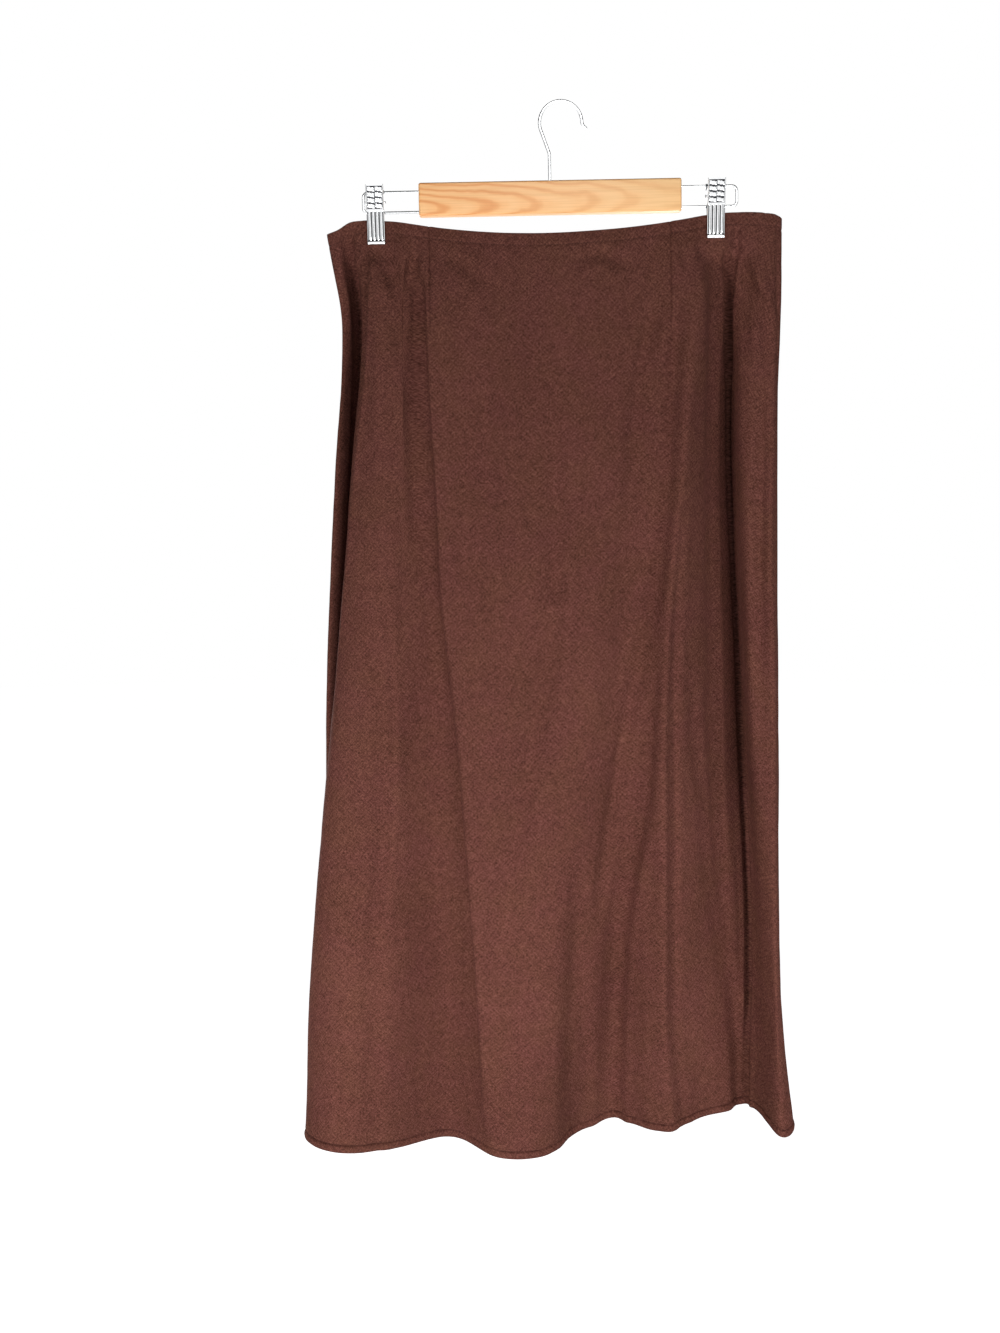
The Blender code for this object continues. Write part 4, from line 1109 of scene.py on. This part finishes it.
# ---- clips ------------------------------------------------------------------------------------
# The side view of a jaw, top to bottom: height, and how far its outer face is from the middle.
JAW_SIDE = (
    (CLIP_TOP_Z, 12.5), (-79.3, 11.2), (-85.8, 9.8), (-95.6, 7.8), (-108.0, 5.6), (-119.0, 4.6),
    (-122.6, 4.5), (-123.8, 4.9), (-125.4, 4.6), (CLIP_BOTTOM_Z, PINCH + GAP + CLIP_PLATE),
)
FRONT_JAW_HALF, BACK_JAW_HALF = 8.25, 7.1  # half of a jaw's width
FLUTES, FLUTE_DEPTH, FLUTE_SHARPNESS, FLUTE_FADE = 4, 0.85, 0.45, 1.2
FLUTE_TOP, FLUTE_BOTTOM = -96.0, -122.8
PAD_TOP, PAD_BOTTOM, PAD_BARS, PAD_HEIGHT, PAD_SLANT = -75.0, -94.6, 4, 0.75, 0.13
PAD_STEEPNESS, PAD_HOLLOW = 2.2, 0.55  # of the bars' sides, and how wide the hollows between are
PAD_END, PAD_FADE = 0.22, 0.8  # how long a bar's ends are, as a share, and the whole pad's fade
PAD_SHADE_START, FLUTE_SHADE_START = 0.30, 0.36  # the reliefs at which the hollows with painted shade start
EAR_TOP, EAR_BOTTOM, EAR_REACH, EAR_FADE = -80.3, -94.6, 3.0, 2.5
PIN_DIAMETER, PIN_Z, SPRING_WIRE = 2.2, -87.5, 1.0
JAW_BEND = 1.0  # radius of the bend into the turned edge
EDGE_ROLL = 1.3  # how far a plate's long edges turn back
JAW_ROWS, PLATE_COLUMNS, EAR_COLUMNS, BEND_COLUMNS = 107, 57, 12, 5
JAW_Z = np.linspace(CLIP_TOP_Z, CLIP_BOTTOM_Z, JAW_ROWS)
PLATE_ACROSS = np.linspace(-1, 1, PLATE_COLUMNS)


def between(z, top, bottom, fade):
    """1 between two heights, fading to 0 at both."""
    return ease((top - z) / fade) * ease((z - bottom) / fade)


def pad_relief(across, z):
    """How far the slanted bars on a thumb pad stand out, from 0 to 1; across runs from -1 to 1."""
    pitch = (PAD_TOP - PAD_BOTTOM) / PAD_BARS
    column = np.where(across < 0, across + 0.5, across - 0.5) * 2
    slant = (PAD_TOP - z) / pitch - PAD_SLANT * column
    inside = np.clip(1 - abs(column), 0, 1)
    bar = ease(np.sin(np.pi * (slant % 1.0)) * PAD_STEEPNESS - PAD_HOLLOW)
    return bar * ease(inside / PAD_END) * between(z, PAD_TOP, PAD_BOTTOM, PAD_FADE)


def flute_relief(across, z):
    """How far the plate is hollowed between its upright ridges, from 0 to 1."""
    hollow = 1 - abs(np.sin(np.pi * FLUTES * (across + 1) / 2)) ** FLUTE_SHARPNESS
    return hollow * between(z, FLUTE_TOP, FLUTE_BOTTOM, FLUTE_FADE)


def jaw_layer(half_width, sign, x, inset):
    """A grid of points over one face of a jaw, inset from its outer one."""
    heights, outs = np.array(JAW_SIDE).T
    out = np.interp(JAW_Z, heights[::-1], outs[::-1])
    ear = between(JAW_Z, EAR_TOP, EAR_BOTTOM, EAR_FADE)
    reach = EDGE_ROLL + (out + EAR_REACH - EDGE_ROLL) * ear  # how far the turned edge goes back
    edge, bend = half_width - inset, max(JAW_BEND - inset, 0.2)
    rows = []
    for k, height in enumerate(JAW_Z):
        flat = out[k] - inset
        raised = PAD_HEIGHT * pad_relief(PLATE_ACROSS, height)
        sunk = FLUTE_DEPTH * flute_relief(PLATE_ACROSS, height)
        plate = np.empty((PLATE_COLUMNS, 3))
        plate[:, 0] = x + PLATE_ACROSS * (edge - bend)
        plate[:, 1] = sign * (flat + raised - sunk)
        plate[:, 2] = height
        turned = []
        for step in range(1, BEND_COLUMNS + 1):
            angle = math.pi / 2 * step / BEND_COLUMNS
            aside, back = bend * math.sin(angle), bend * math.cos(angle)
            turned.append((edge - bend + aside, flat - bend + back))
        start, end = flat - bend, out[k] - max(reach[k], JAW_BEND + 0.1)
        for step in range(1, EAR_COLUMNS - BEND_COLUMNS + 1):
            turned.append((edge, start + (end - start) * step / (EAR_COLUMNS - BEND_COLUMNS)))
        right = [(x + aside, sign * back, height) for aside, back in turned]
        left = [(x - aside, sign * back, height) for aside, back in reversed(turned)]
        rows.append(np.concatenate([left, plate, right]))
    return np.array(rows)


def make_jaw(name, half_width, sign, x, material, hollow_shade):
    """A jaw pressed from sheet: thumb pad, flutes, lip and two ears. sign is -1 at the front."""
    layers = [jaw_layer(half_width, sign, x, inset)[:, ::-sign] for inset in (0.0, CLIP_PLATE)]
    jaw = shell(name, *layers, None, material, "chrome")
    # The hollows between the pad's bars and between the flutes get a near-black chrome, which is
    # painted shade.
    jaw.data.materials.append(hollow_shade)
    middle = (PLATE_ACROSS[1:] + PLATE_ACROSS[:-1]) / 2
    strip = 2 * EAR_COLUMNS + PLATE_COLUMNS - 1  # faces in a row of the jaw
    for k, height in enumerate((JAW_Z[:-1] + JAW_Z[1:]) / 2):
        if PAD_BOTTOM < height < PAD_TOP:
            hollow = pad_relief(middle, height) < PAD_SHADE_START
        else:
            hollow = flute_relief(middle, height) > FLUTE_SHADE_START
        for column in EAR_COLUMNS + np.flatnonzero(hollow):
            place = column if sign < 0 else strip - 1 - column
            jaw.data.polygons[k * strip + int(place)].material_index = 1
    drill(jaw, (x, 0, PIN_Z), PIN_DIAMETER, depth=12, segments=24)
    shade_smooth(jaw.data)
    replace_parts(jaw, name + "_jaw")
    hang(jaw)


def make_pin(name, node_name, x, material):
    """The pin that both jaws turn on, with a domed head at each end."""
    half, head, head_radius, radius = 8.7, 0.9, 1.9, PIN_DIAMETER / 2
    dome = np.radians([8, 35, 60, 80])
    profile = [(-half - head * math.cos(a), head_radius * math.sin(a)) for a in dome]
    profile += [(-half, head_radius), (-half, radius)]
    profile += [(-place, size) for place, size in reversed(profile)]
    sides = 32
    points = []
    for place, size in profile:
        for k in range(sides):
            y, z = size * math.cos(math.tau * k / sides), size * math.sin(math.tau * k / sides)
            points.append((x + place, y, PIN_Z + z))
    mesh = mesh_of(name, points, tube_faces(0, len(profile), sides))
    shade_smooth(mesh)
    pin = link(name, mesh, material)
    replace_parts(pin, node_name)
    hang(pin)


def spring_route(x):
    """A torsion spring round the pin, with a leg behind each thumb pad."""
    radius, turns, pitch, steps = 2.0, 5.5, 1.5, 24
    start_x = x - pitch * turns / 2
    leg_y, leg_z = 10.0, -77.0
    route = [Vector((start_x, -leg_y, leg_z))]
    for k in range(int(turns * steps) + 1):
        angle = math.tau * k / steps
        y, z = -radius * math.cos(angle), PIN_Z - radius * math.sin(angle)
        route.append(Vector((start_x + pitch * k / steps, y, z)))
    route.append(Vector((start_x + pitch * turns, leg_y, leg_z)))
    return route


def make_hanger(wood_material, chrome, hollow_shade, spring_steel):
    """The bar, hook, wire loops and spring clips."""
    make_bar(wood_material)
    make_wire("hook", "hanger_hook", hook_route(), HOOK_WIRE, chrome, round_end=True)
    for side, x in CLIP_X.items():
        make_wire(f"loop_{side}", f"wire_loop_{side}", loop_route(side), LOOP_WIRE, chrome)
        clip = f"clip_{side}"
        make_jaw(clip + "_front", FRONT_JAW_HALF, -1, x, chrome, hollow_shade)
        make_jaw(clip + "_back", BACK_JAW_HALF, 1, x, chrome, hollow_shade)
        make_pin(clip + "_rivet", clip + "_pin", x, chrome)
        make_wire(
            clip + "_coil", clip + "_spring", spring_route(x), SPRING_WIRE, spring_steel,
        )


# ---- the room ---------------------------------------------------------------------------------
def area_light(name, place, target, size, power):
    """A soft square light, in metres and watts, aimed at a point."""
    light = bpy.data.lights.new(name, "AREA")
    light.shape, light.size, light.energy = "SQUARE", size, power
    lamp = bpy.data.objects.new(name, light)
    bpy.context.scene.collection.objects.link(lamp)
    lamp.location = place
    lamp.rotation_euler = (Vector(target) - Vector(place)).to_track_quat("-Z", "Y").to_euler()


def glowing(name, grey, roughness, strength):
    """A surface that glows white over a grey of its own."""
    return new_material(
        name, base=(grey, grey, grey, 1), roughness=roughness, glow=(1, 1, 1, 1),
        glow_strength=strength,
    )[0]


def stage(name, shape, material, place, turn=(0, 0, 0)):
    """Adds a piece of the room, which isn't part of the object and lights nothing matt."""
    mesh = mesh_from(name, shape)
    mesh.materials.append(material)
    piece = bpy.data.objects.new(name, mesh)
    piece.location = place
    piece.rotation_euler = turn
    piece.visible_diffuse = False
    bpy.context.scene.collection.objects.link(piece)
    return piece


def card(name, place, turn, width):
    """A white card that only polished metal sees, turned about the upright."""
    shape = bmesh.new()
    bmesh.ops.create_grid(shape, x_segments=1, y_segments=1, size=width / 2)
    panel = stage(
        name, shape, glowing(name, 0, 1.0, 1.3), place, (math.radians(90), 0, math.radians(turn))
    )
    panel.visible_camera = panel.visible_shadow = False


def make_room():
    """A pale floor under a white surround, soft lights and the camera."""
    shape = bmesh.new()
    bmesh.ops.create_circle(shape, cap_ends=True, segments=96, radius=9.0)
    stage("floor", shape, glowing("pale_floor", 0.9, 0.9, 1.0), (0, 0, -1.55))
    world = bpy.data.worlds.new("surround")
    world.use_nodes = True
    world.node_tree.nodes["Background"].inputs["Color"].default_value = (1, 1, 1, 1)
    world.cycles_visibility.diffuse = False
    world.cycles_visibility.glossy = False
    scene = bpy.context.scene
    scene.world = world
    scene.view_settings.view_transform = "Standard"
    for light in (
        # name, place, target, size, power
        ("key", (-0.66, -0.86, -0.92), (0, 0, -0.80), 0.30, 12.0),
        ("side", (0.56, -0.92, -0.98), (0, 0, -0.80), 0.30, 5.6),
        ("far_side", (0.88, -0.68, -0.94), (0, 0, -0.80), 0.40, 5.0),
        ("bar_light", (0.1, -1.3, 0.35), (0, 0, -0.05), 0.5, 6),
        ("back_key", (0.40, 1.0, -0.80), (0, 0, -0.72), 0.30, 8.5),
        ("back_side", (-0.8, 0.9, -0.75), (0, 0, -0.70), 0.5, 7.2),
    ):
        area_light(*light)
    card("card_right", (1.3, -0.8, -0.1), 62, 1.4)
    card("card_left", (-1.4, -0.9, -0.1), -60, 1.4)
    card("card_front", (-0.1, -2.6, 0.1), 0, 1.7)
    card("card_back", (0.0, 1.6, 0.2), 180, 2.0)
    camera = bpy.data.objects.new("camera", bpy.data.cameras.new("camera"))
    scene.collection.objects.link(camera)
    camera.location = (-0.056, -1.30, -0.390)
    camera.rotation_euler = (math.radians(84), 0, 0)
    camera.data.sensor_width = 36.0
    camera.data.lens = 36.43
    camera.data.clip_end = 100.0
    scene.camera = camera


# ---- everything -------------------------------------------------------------------------------
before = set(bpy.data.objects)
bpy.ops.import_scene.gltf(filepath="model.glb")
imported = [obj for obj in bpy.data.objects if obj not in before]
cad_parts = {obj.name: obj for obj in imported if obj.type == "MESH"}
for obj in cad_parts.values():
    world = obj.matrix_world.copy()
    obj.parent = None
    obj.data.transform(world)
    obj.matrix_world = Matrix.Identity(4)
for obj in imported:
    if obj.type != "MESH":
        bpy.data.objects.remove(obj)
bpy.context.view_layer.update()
make_room()
make_skirt(
    linen("brown_linen", (0.044, 0.0150, 0.0105), (0.093, 0.0328, 0.0242), (0.160, 0.061, 0.046)),
    # The thread is much darker than the cloth so that the stitching lines read dark: painted shade
    # of the waist's and hem's grooves.
    dye_and_painted_shade("sewing_thread_painted_shade", (0.034, 0.0115, 0.0085), 0.8),
    dye_and_painted_shade("zip_tape_weave", (0.075, 0.028, 0.021), 0.75),
    polished("zip_slider_metal", (0.16, 0.10, 0.08), 0.3),
)
make_hanger(
    wood(),
    polished("bright_chrome", (0.78, 0.79, 0.80), 0.12),
    # The near-black chrome in the clips' hollows is painted shade.
    polished("chrome_painted_shade_in_hollows", (0.045, 0.045, 0.05), 0.45),
    polished("spring_wire_steel", (0.45, 0.45, 0.47), 0.3),
)
